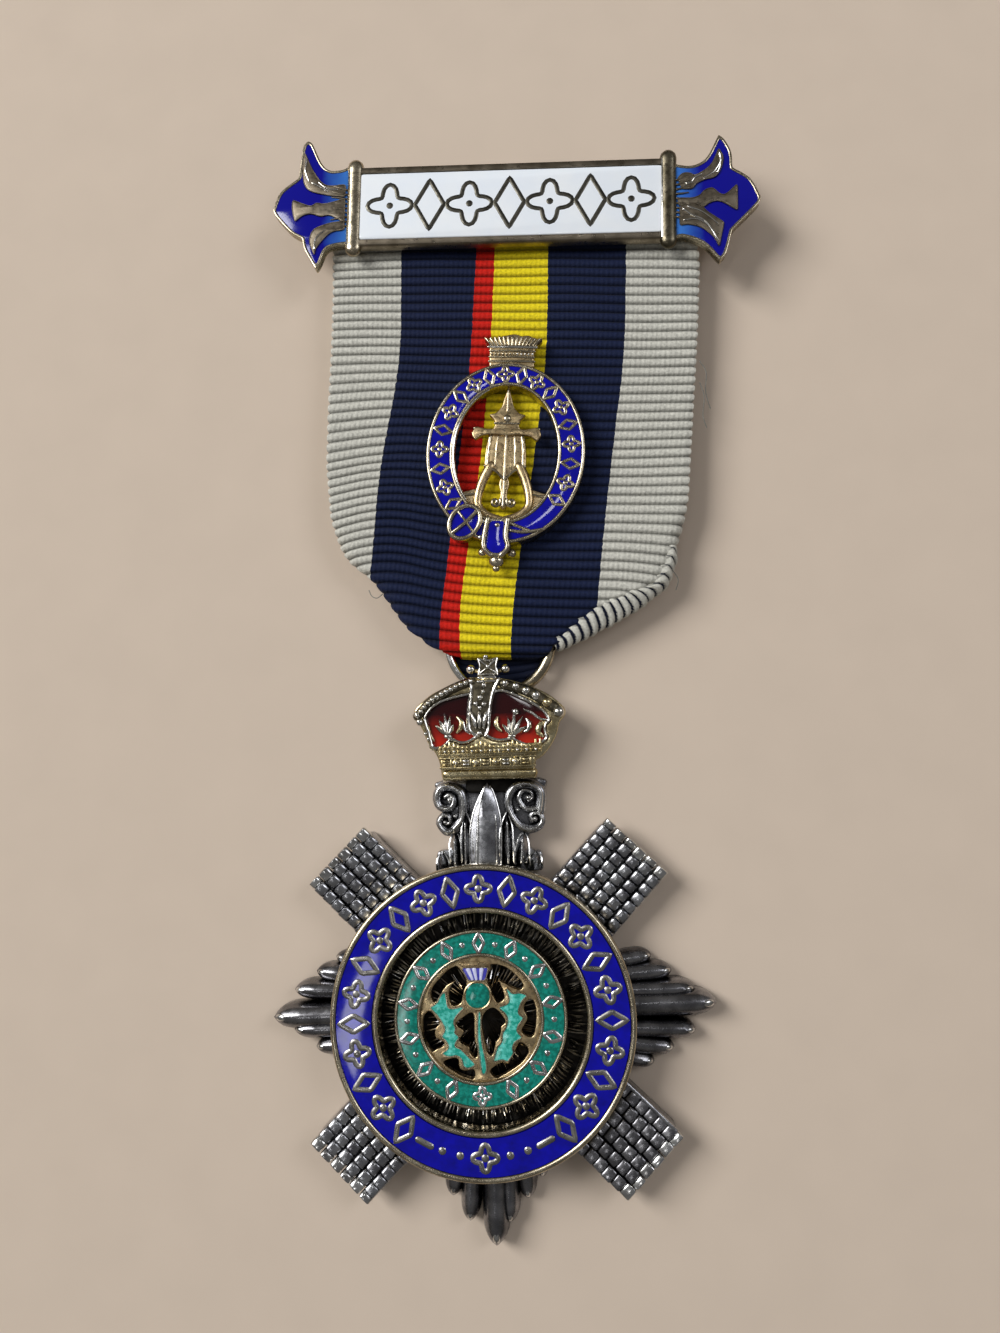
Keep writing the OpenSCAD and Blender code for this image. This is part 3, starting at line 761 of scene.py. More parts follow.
    def blade(self, spine: Array, half: Array, crest: Array, foot: Array, crease: float = 0.0,
              plump: float = 2.2, slot: int = 0) -> None:
        """Leaf with a crowned back and a flat underside.

        Args:
            spine: Plane points from root to tip.
            half: Half width at each point.
            crest: Height of the back at each point.
            foot: Height of the underside at each point.
            crease: Height of a sharp ridge along the middle.
            plump: How full the back is between the middle and the edge.
            slot: Which finish it has.
        """
        p = np.asarray(spine, float)
        t = np.gradient(p, axis=0)
        t /= np.linalg.norm(t, axis=1, keepdims=True)
        side = np.stack([-t[:, 1], t[:, 0]], 1)
        c = np.sin(np.linspace(-math.pi / 2, math.pi / 2, 13))
        dome = (1 - np.abs(c) ** plump) ** 0.55
        ridge = np.exp(-((c / 0.16) ** 2)) * crease
        grid = np.empty((len(p), 15, 3))
        grid[:, :13, :2] = p[:, None] + side[:, None] * (c[None, :, None] * half[:, None, None])
        rise, base = np.maximum(crest - foot, 0)[:, None], foot[:, None]
        grid[:, :13, 2] = base + 0.35 * rise + 0.65 * rise * dome[None] + ridge[None] * np.minimum(rise, 1)
        grid[:, 13, :2], grid[:, 14, :2] = p + side * half[:, None], p - side * half[:, None]
        grid[:, 13:, 2] = base
        self.sheet(grid, capped=True, slot=slot)

    def plate(self, outline: Array, z0: float, z1: float, bevel: float = 0.08, holes: Sequence[Array] = (),
              slot: int = 0) -> None:
        """Flat plate with rounded edges.

        Args:
            outline: Closed outline in the plane.
            z0: Height of its underside.
            z1: Height of its face.
            bevel: Radius of its edges.
            holes: Closed outlines that are cut out of it.
            slot: Which finish it has.
        """
        curve = bpy.data.curves.new("outline", "CURVE")
        curve.dimensions, curve.fill_mode = "2D", "BOTH"
        for ring in map(eased, (outline, *holes)):
            spline = curve.splines.new("POLY")
            spline.points.add(len(ring) - 1)
            spline.points.foreach_set(
                "co", np.column_stack([ring[:, :2], np.zeros(len(ring)), np.ones(len(ring))]).ravel())
            spline.use_cyclic_u = True
        curve.extrude = max((z1 - z0) / 2 - bevel, 0.001)
        curve.bevel_depth, curve.offset, curve.bevel_resolution = bevel, -bevel, 2
        carrier = bpy.data.objects.new("outline", curve)
        bpy.context.scene.collection.objects.link(carrier)
        bpy.context.view_layer.update()
        mesh = bpy.data.meshes.new_from_object(carrier.evaluated_get(bpy.context.evaluated_depsgraph_get()))
        points = np.empty(len(mesh.vertices) * 3)
        mesh.vertices.foreach_get("co", points)
        points = points.reshape(-1, 3)
        points[:, 2] += (z0 + z1) / 2
        self.add(points, [tuple(f.vertices) for f in mesh.polygons], slot)
        bpy.data.objects.remove(carrier)
        bpy.data.curves.remove(curve)
        bpy.data.meshes.remove(mesh)

    def build(self, name: str, finishes: Sequence[Finish], nodes: Sequence[str],
              crease: float = 38.0) -> bpy.types.Object:
        """Builds the mesh and puts it on the model.

        Args:
            name: The piece's name.
            finishes: Its finishes, in the order of their slots.
            nodes: The model's own nodes that it stands for.
            crease: Edges sharper than this angle in degrees stay sharp.

        Returns:
            The new piece.
        """
        mesh = bpy.data.meshes.new(name)
        mesh.from_pydata((np.vstack(self.points) * MM).tolist(), [], self.faces)
        for finish in finishes:
            mesh.materials.append(finish.material())
        mesh.polygons.foreach_set("material_index", self.slots)
        layer = mesh.uv_layers.new(name="cloth")
        corners = np.empty(len(mesh.loops), np.int32)
        mesh.loops.foreach_get("vertex_index", corners)
        layer.data.foreach_set("uv", np.vstack(self.uvs)[corners].ravel())
        work = bmesh.new()
        work.from_mesh(mesh)
        bmesh.ops.remove_doubles(work, verts=work.verts, dist=2e-7)
        bmesh.ops.dissolve_degenerate(work, edges=work.edges, dist=2e-7)
        work.to_mesh(mesh)
        work.free()
        mesh.polygons.foreach_set("use_smooth", [True] * len(mesh.polygons))
        mesh.set_sharp_from_angle(angle=math.radians(crease))
        piece = bpy.data.objects.new(name, mesh)
        bpy.context.scene.collection.objects.link(piece)
        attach(piece, "root")
        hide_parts(*nodes)
        LOG.info("%s: %d faces", name, len(mesh.polygons))
        return piece


def channel(rim: float, z0: float, bed: float, top: float) -> list[tuple[float, float, float]]:
    """Section of a metal lane with two rounded rims and a bed for enamel between them.

    Args:
        rim: Width of a rim.
        z0: Height of its back.
        bed: Height of the bed.
        top: Height of the rims.

    Returns:
        Closed rows for Shell.lane.
    """
    r = rim / 2
    arc = [(1.0, r * math.cos(a) - r, top - r + r * math.sin(a)) for a in np.linspace(0, math.pi, 7)]
    far = [(1.0, 0.0, z0), *arc, (1.0, -rim, bed)]
    return far + [(0.0, -d, z) for _, d, z in reversed(far)]


def cushion(rim: float, z0: float, top: float, crown: float = 0.03) -> list[tuple[float, float, float]]:
    """Section of an enamel field between two rims, a little crowned.

    Args:
        rim: Width of the rims beside it.
        z0: Height of its underside.
        top: Height of its edges.
        crown: How much its middle stands above its edges.

    Returns:
        Closed rows for Shell.lane.
    """
    across = np.linspace(1, -1, 9)
    dome = [((1 + c) / 2, -rim * c, top + crown * (1 - c * c)) for c in across]
    return [(0.0, rim, z0), (1.0, -rim, z0), *dome]


class Motif(Enum):
    """Plain wire shapes set in an enamel field."""

    LOZENGE = "lozenge"
    QUATREFOIL = "quatrefoil"
    BAR = "bar"
    PELLET = "pellet"


@dataclass(frozen=True)
class Inlay:
    """Wire shapes of one height and stroke, set flush in enamel."""

    height: float
    stroke: float
    flat: float = 0.35

    def lay(self, shell: Shell, kind: Motif, at: Pair, turn: float, z: float, slot: int = 0) -> None:
        """Adds one shape.

        Args:
            shell: Where its faces go.
            kind: Which shape.
            at: Its middle.
            turn: Turn in degrees.
            z: Height of the wire's middle.
            slot: Which finish it has.
        """
        h, r = self.height / 2, self.stroke / 2
        if kind is Motif.LOZENGE:
            loop = spaced(np.array([(0, h), (-0.56 * h, 0), (0, -h), (0.56 * h, 0), (0, h)]), 0.2)[:-1]
        elif kind is Motif.QUATREFOIL:
            a = np.linspace(0, 2 * math.pi, 40, endpoint=False)
            reach = 0.86 * h * (0.76 + 0.24 * np.cos(4 * a))
            loop = np.stack([reach * np.cos(a), reach * np.sin(a)], 1)
        elif kind is Motif.BAR:
            path = placed([(-0.5 * h, 0), (0, 0), (0.5 * h, 0)], at, turn)
            shell.wire(path, z, r * 1.2, flat=self.flat, slot=slot)
            return
        if kind is not Motif.PELLET:
            shell.wire(placed(loop, at, turn), z, r, flat=self.flat, closed=True, slot=slot)
        if kind is not Motif.LOZENGE:
            shell.pebble((*at, z), (r * 1.5, r * 1.5, r * self.flat), slot=slot, rows=6, columns=10)


def leaf_half(count: int, half: float, root: float = 0.6, swell: float = 0.45, point: float = 2.4) -> Array:
    """Half widths of a leaf from root to tip.

    Args:
        count: Number of points.
        half: Largest half width.
        root: Share of it at the root.
        swell: Where along the leaf it is widest.
        point: Larger for a blunter tip.

    Returns:
        One half width for each point.
    """
    t = np.linspace(0, 1, count)
    grow = root + (1 - root) * np.sin(np.clip(t / swell, 0, 1) * math.pi / 2)
    return np.maximum(half * grow * (1 - t**point) ** 0.75, 0.02)


# The star


@dataclass
class StarCasting:
    """Cast silver star: bristled dish, four arms of brick-cut rods, three leaf arms and a scrolled neck."""

    node_name: str = "star_body"
    dish_at: Pair = (-0.65, -0.4)
    seat_at: Pair = MEDALLION_AT
    rods: int = 6
    pitch: float = 1.25
    brick: float = 1.06
    rod_top: float = 2.42
    block_root: float = 11.0
    rod_root: float = 12.4
    # Direction, reach, squareness and finish of each arm; the lower right arm's darker finish is painted
    # shade
    rod_arms: tuple = (
        (134.8, 20.1, 0.62, 0), (46.2, 20.1, 0.66, 0), (-43.8, 19.7, 0.3, 2), (224.6, 19.9, 0.6, 0))
    leaf_arms: tuple = (0.9, 181.2, 269.6)
    # Root, tip, half width and height of each leaf beside the middle one
    side_leaves: tuple = (
        ((11.0, 4.1), (14.7, 4.7), 0.85, 1.75), ((10.8, 2.9), (16.5, 3.4), 0.95, 2.0),
        ((10.6, 1.6), (18.5, 1.8), 0.95, 2.25))
    side_turn: float = -1.8
    middle_leaf: tuple = ((10.4, 0.0), (20.38, 0.0), 1.25, 2.6)
    neck_plate: tuple = (
        (5, 21), (-4, 21), (-4.7, 19.9), (-4.6, 18.4), (-4.2, 18), (-4.5, 17), (-4, 16.1), (-3.4, 15.9),
        (-3.6, 14.6), (-4.7, 14.3), (-4.9, 12.4, 1), (5.1, 12.4, 1), (5.1, 14.1), (4.1, 14.4), (4, 15.8),
        (4.7, 16.1), (5.3, 16.9), (5.2, 17.9), (5.4, 19.6))
    scroll_left: tuple = (
        (-3, 16.4), (-2.2, 17.5), (-2.2, 19.4), (-2.7, 20.1), (-3.4, 20.4), (-4.1, 20.3), (-4.5, 19.8),
        (-4.6, 19.1), (-4.3, 18.5), (-3.6, 18.3), (-3.1, 18.6), (-3, 19.2), (-3.4, 19.6), (-3.8, 19.4))
    curl_left: tuple = (
        (-2.8, 16.6), (-3.2, 16.3), (-3.8, 16.2), (-4.4, 17), (-4.1, 17.6), (-3.7, 17.7), (-3.4, 17.4),
        (-3.4, 17), (-3.8, 16.9))
    scroll_right: tuple = (
        (5, 17.9), (5.2, 19.3), (4.9, 20), (4, 20.4), (3, 20.3), (2.4, 19.8), (2.1, 19), (2.2, 18.1),
        (2.7, 17.1), (3.4, 16.4), (4.1, 16.2), (4.8, 16.4), (5.2, 16.9), (5.1, 17.5), (4.5, 17.7),
        (4.2, 17.4), (4.3, 17))
    eye_right: tuple = (
        (4.9, 18.1), (3.8, 18.1), (3.3, 18.6), (3.1, 19.2), (3.5, 19.8), (4.2, 19.7), (4.4, 19.1), (4, 18.8))
    knobs: tuple = (
        (-3.35, 19.1, 0.3), (-3.8, 17.05, 0.24), (4.02, 19.1, 0.3), (4.6, 17.15, 0.24), (3.0, 18.0, 0.2),
        (-2.9, 17.6, 0.2))
    # Left and right edge of each upright leaf from its root up, its height, and how round its back is
    uprights: tuple = (
        (((-4.75, 12.5), (-4.7, 13.6), (-4.35, 14.35)), ((-3.6, 12.5), (-3.6, 13.5), (-4.2, 14.4)), 2.5, 1.6),
        (((3.6, 12.5), (3.75, 13.6), (4.5, 14.15)), ((5.05, 12.5), (5.05, 13.6), (4.6, 14.2)), 2.5, 1.6),
        (((-3.3, 12.5), (-3.52, 14.57), (-3.35, 15.64), (-3.02, 16.1)), ((-2.25, 12.5), (-2.42, 14.95),
          (-2.62, 15.76), (-2.98, 16.12)), 2.75, 1.4),
        (((2.42, 12.5), (2.63, 14.28), (3.01, 15.47), (3.43, 15.9)), ((3.97, 12.5), (3.95, 14.38),
          (3.83, 15.45), (3.52, 15.95)), 2.75, 1.4),
        (((-2.3, 12.5), (-2.36, 15.08), (-2.25, 16.7), (-1.93, 18.0)), ((-1.2, 12.5), (-1.25, 15.72),
          (-1.5, 17.08), (-1.85, 18.05)), 3.0, 1.25),
        (((1.2, 12.5), (1.25, 15.65), (1.5, 16.86), (1.9, 17.85)), ((2.5, 12.5), (2.5, 15.22), (2.4, 16.7),
          (1.98, 17.9)), 3.0, 1.25))
    middle_upright: tuple = (
        ((-1.5, 12.5), (-1.6, 15.1), (-1.4, 16.8), (-1, 18.3), (0.1, 20.6)),
        ((-0.5, 12.5), (-0.2, 15.7), (-0.3, 17.7), (-0.2, 19.4), (0.2, 20.6)),
        ((1.3, 12.5), (1.4, 16.7), (0.9, 19.3), (0.3, 20.6)))

    def build(self) -> None:
        """Builds the star in four pieces, all of them one casting."""
        self.dish()
        self.rod_block()
        self.leaves()
        self.neck()

    def dish(self) -> None:
        """Round body with a black floor full of fine worn bristles."""
        shell = Shell()
        a = np.linspace(0, 2 * math.pi, 240, endpoint=False)
        rng = np.random.default_rng(11)
        rough = rng.uniform(0, 1, len(a))
        section = [(0.6, 0, 0), (12.6, 0, 0), (13.0, 0.4, 0), (13.0, 2.7, 0), (12.8, 3.0, 0), (9.8, 3.0, 0),
                   (9.66, 2.9, 0), (9.62, 2.3, 0), (9.5, 2.0, 0.2), (8.6, 1.95, 0.25), (7.6, 2.0, 0.2),
                   (5.7, 2.0, 0.1), (4.4, 1.95, 0.2), (3.2, 2.0, 0.15), (1.2, 2.0, 0.05), (0.6, 2.0, 0.0)]
        grid = np.array([np.stack([r * np.cos(a) + self.dish_at[0], r * np.sin(a) + self.dish_at[1],
                                   z + k * np.roll(rough, 7 * i)], 1) for i, (r, z, k) in enumerate(section)])
        shell.sheet(grid, capped=True)
        seat = [(0, 0, 1.9), (1, 0, 1.9), (1, 0, 3.05), (0, 0, 3.05)]
        shell.lane(circle(6.0, centre=self.seat_at), circle(6.9, centre=self.seat_at), seat)
        for count, start, end, wire in ((260, (7.4, 8.2), (8.7, 9.5), 0.075),
                                        (120, (2.0, 3.4), (4.2, 5.5), 0.065)):
            for k in range(count):
                if rng.random() < 0.25:
                    continue
                ends = []
                for reach in (rng.uniform(*start), rng.uniform(*end)):
                    turn = 2 * math.pi * (k + rng.uniform(-0.7, 0.7)) / count
                    ends.append(
                        (reach * math.cos(turn) + self.dish_at[0], reach * math.sin(turn) + self.dish_at[1]))
                path = resampled(np.array(ends), 3)
                shell.tube(np.column_stack([path, (2.2, 2.35 + 0.25 * rng.random(), 2.3)]),
                           wire * rng.uniform(0.6, 1.2), sides=5, slot=int(rng.choice((1, 1, 1, 2))))
        shell.build("star_dish", [BLACKENED_AND_SHADOW, BRISTLE, RUBBED_AND_HIGHLIGHT], [self.node_name], crease=25)

    def rod_block(self) -> None:
        """Four arms, each a block with rods of stone-like bricks along it."""
        shell = Shell()
        rng = np.random.default_rng(5)
        r = self.pitch * 0.5
        rows = np.arange(self.rods) - (self.rods - 1) / 2
        for turn, reach, square, slot in self.rod_arms:
            ends = [(reach - 0.4 - r + r * math.cos(a), y * self.pitch + r * math.sin(a)) for y in rows
                    for a in np.linspace(-1.35, 1.35, 6)]
            wide = rows[-1] * self.pitch + r
            block = placed([(self.block_root, -wide), *ends, (self.block_root, wide)], (0, 0), turn)
            shell.plate(block, 0.0, 2.4, 0.2, slot=slot)
            for k, y in enumerate(rows):
                self.rod(shell, (turn, y * self.pitch, reach), square, bool(k % 2), slot, rng)
        # Bright wire along the upper side of the lower right arm: painted highlight on the edge that faces
        # the light
        turn, reach = self.rod_arms[2][:2]
        rail = placed([(12.5, 3.66), (15.5, 3.66), (reach - 0.9, 3.62)], (0, 0), turn)
        shell.wire(rail, 2.75, 0.2, sides=12)
        # The third finish, on the lower right arm, is the darker shaded silver: painted shade
        shell.build("rod_arms", [OXIDISED, RUBBED_AND_HIGHLIGHT, SHADED_SILVER], [self.node_name], crease=35)

    def rod(self, shell: Shell, line: tuple[float, float, float], square: float, short: bool, slot: int,
            rng: np.random.Generator) -> None:
        """One rod, cut into bricks that each stand a little higher at their outer end.

        Args:
            shell: Where its faces go.
            line: Direction of its arm in degrees, its distance from the arm's middle line, and its reach.
            square: 1 for a round section, less for a squarer one.
            short: Whether its first brick is a short one, which staggers the joints.
            slot: Which finish it has; the first brick is always rubbed bright.
            rng: Source of the small differences between bricks.
        """
        turn, y, reach = line
        a = np.linspace(0, 2 * math.pi, 16, endpoint=False)
        across, up = power(np.cos(a), square) * self.pitch * 0.475, power(np.sin(a), square) * 0.48
        x, first = reach, True
        while x > self.rod_root:
            length = self.brick * (0.66 if short and first else rng.uniform(0.94, 1.05))
            lift, shift, lean = rng.uniform(-0.05, 0.05), rng.uniform(-0.03, 0.03), rng.uniform(-0.12, 0.12)
            rings = []
            for share, low in ((0.0, 0.5), (0.03, 0.3), (0.1, 0.08), (0.2, 0.0), (0.82, 0.0), (0.93, 0.08),
                               (1.0, 0.3)):
                wide = across * (1 - 0.3 * low)
                rings.append(
                    np.stack([np.full(16, x - share * length), y + shift + wide,
                              self.rod_top + lift + 0.24 * (0.5 - share) + up * (1 - low) + lean * wide], 1))
            grid = np.array(rings)
            grid[:, :, :2] = placed(grid[:, :, :2].reshape(-1, 2), (0, 0), turn).reshape(len(grid), 16, 2)
            shell.sheet(grid, capped=True, slot=1 if first else slot)
            x, first = x - length, False

    def leaves(self) -> None:
        """Three arms of full leaves laid side by side, the middle one on top."""
        shell = Shell()
        for turn in self.leaf_arms:
            for side in (-1, 1):
                for (x0, y0), (x1, y1), half, height in self.side_leaves:
                    ends = placed([(x0, side * y0), (x1, side * y1)], (0, 0), turn + self.side_turn)
                    self.leaf(shell, ends, half, height)
            root, tip, half, height = self.middle_leaf
            self.leaf(shell, placed([root, tip], (0, 0), turn), half, height)
        # The leaf arms have the darker shaded silver: painted shade
        shell.build("leaf_arms", [SHADED_SILVER, RUBBED_AND_HIGHLIGHT], [self.node_name], crease=50)

    @staticmethod
    def leaf(shell: Shell, ends: Array, half: float, height: float) -> None:
        """One full leaf with a blunt tip, straight from root to tip.

        Args:
            shell: Where its faces go.
            ends: Plane points of its root and tip.
            half: Half its width.
            height: Height of its back.
        """
        t = np.sin(np.linspace(0, math.pi / 2, 28))
        way = ends[1] - ends[0]
        length = np.linalg.norm(way)
        spine = ends[0] + way * t[:, None]
        taper = 1 - 2.0 * half / length
        ease = np.clip((t - taper) / (1 - taper), 0, 1)
        foot = 0.7 * ease**2
        crest = height - 0.3 * ease - 0.5 * ease**6
        shell.blade(spine, half * np.maximum(1 - ease**2.4, 0.02) ** 0.6, crest, foot, crease=0.08, plump=2.3)
        # Each tip gets a bright silver pebble: painted highlight where the tip curves down towards the light
        turn = math.degrees(math.atan2(way[1], way[0]))
        tip = ends[1] - way * (0.62 * half / length)
        shell.pebble((*tip, height - 0.5), (0.5 * half, 0.3 * half, 0.32), turn, tilt=(-0.35, 0.0), rows=10,
                     columns=16, slot=1)

    def neck(self) -> None:
        """Plate, scrolls and upright leaves between the ring and the crown."""
        shell = Shell()
        shell.plate(closed_curve(self.neck_plate), 0.0, 1.95, 0.25)
        # The plate under the crown is blackened: painted shadow of the crown
        shell.plate(placed(rounded_box(2.4, 3.3, 0.4), (0.55, 23.0)), 0.0, 2.38, 0.15, slot=2)
        for path, start, end in ((self.scroll_left, 0.36, 0.2), (self.scroll_right, 0.36, 0.2),
                                 (self.curl_left, 0.28, 0.16), (self.eye_right, 0.24, 0.14)):
            points = spaced(open_curve(path, 8), 0.14)
            t = np.linspace(0, 1, len(points))
            # A broad low band with a thin raised edge on it; the edge is bright silver, wear and painted
            # highlight
            shell.wire(points, 2.1 + 0.15 * np.sin(t * math.pi), (start + (end - start) * t) * 1.6, sides=14)
            shell.wire(points, 2.72 + 0.2 * np.sin(t * math.pi), (start + (end - start) * t) * 0.62, sides=14,
                       slot=1)
        for x, y, r in self.knobs:
            shell.pebble((x, y, 2.6), (r, r, 0.4), rows=12, columns=18, slot=1)
        for left, right, height, plump in self.uprights:
            spine, half = between(left, right, 22)
            t = np.linspace(0, 1, len(spine))
            crest = height - 0.45 * t**3 - 0.35 * np.clip(1 - t * 3, 0, 1)
            shell.blade(spine, np.maximum(half, 0.04), crest, np.full(len(t), 0.6), crease=0.12, plump=plump)
            # Bright silver along each leaf's edges: wear and painted highlight
            for edge in (left, right):
                line = resampled(open_curve(edge), 22)
                shell.wire(line[2:], crest[2:] - 0.15, np.linspace(0.11, 0.06, 20), slot=1)
        self.facets(shell)
        # Bright silver ridge lines: wear and painted highlight
        for root, tip in (((-1.95, 13.2), (-1.95, 16.9)), ((2.0, 13.2), (2.0, 16.9)),
                          ((-2.95, 13.2), (-3.0, 15.3)), ((3.2, 13.2), (3.35, 15.3)),
                          ((0.95, 13.2), (0.95, 17.6))):
            line = resampled(np.array((root, tip)), 8)
            shell.wire(line, 2.92, np.linspace(0.12, 0.05, 8), sides=14, slot=1)
        shell.build("neck_scrolls", [OXIDISED, RUBBED_AND_HIGHLIGHT, BLACKENED_AND_SHADOW], [self.node_name], crease=30)

    def facets(self, shell: Shell) -> None:
        """Adds the middle leaf, cut in two facets that meet in a ridge left of its middle.

        Args:
            shell: Where its faces go.
        """
        left, ridge, right = (resampled(open_curve(line), 26) for line in self.middle_upright)
        t = np.linspace(0, 1, 26)
        low, high = 2.78 - 0.3 * t**2, 3.16 - 0.35 * t**2
        columns = [raised(left, 0.6), raised(left, low), raised((left + ridge) / 2, (low + high) / 2),
                   raised(ridge, high), raised((ridge + right) / 2, (low + high) / 2 + 0.05),
                   raised(right, low), raised(right, 0.6)]
        shell.sheet(np.stack(columns, 1), capped=True)
        # Painted highlight: a bright silver strip left of the ridge, where the light falls on the leaf
        bright = (0.4 * left + 0.6 * ridge)[:-1]
        shell.wire(bright, ((low + high) / 2)[:-1] + 0.02, 0.26 * (1.1 - t[:-1]), sides=14, flat=0.5, slot=1)
        for line in (left, right):
            shell.wire(line[:-1], low[:-1] + 0.02, 0.08, slot=1)


# The rings


@dataclass
class EnamelledRing:
    """Gilt ring of channel section with an enamel field and flush wire motifs round it."""

    name: str
    at: Pair
    outer: float
    opening: float
    back: float
    bed: float
    top: float
    rim: float
    enamel: VitreousEnamel
    inlay: Inlay
    motifs: tuple
    first: float
    last: float
    bottom: tuple
    wire: WornMetal

    def build(self) -> None:
        """Builds the frame with its motifs, and the enamel."""
        inner, outer = circle(self.opening, 240, self.at), circle(self.outer, 240, self.at)
        frame_shell, glass = Shell(), Shell()
        frame_shell.lane(inner, outer, channel(self.rim, self.back, self.bed, self.top))
        glass.lane(inner, outer, cushion(self.rim, self.bed + 0.02, self.top - 0.1, 0.03))
        middle = (self.opening + self.outer) / 2
        angles = np.linspace(self.first, self.last, len(self.motifs))
        for kind, angle in [*zip(self.motifs, angles), *self.bottom]:
            at = placed([(middle, 0)], self.at, angle)[0]
            self.inlay.lay(frame_shell, kind, at, angle - 90, self.top - 0.07, slot=1)
        frame_shell.build(f"{self.name}_metal", [GILT, self.wire], [f"{self.name}_frame"])
        glass.build(f"{self.name}_glass", [self.enamel], [f"{self.name}_enamel"])


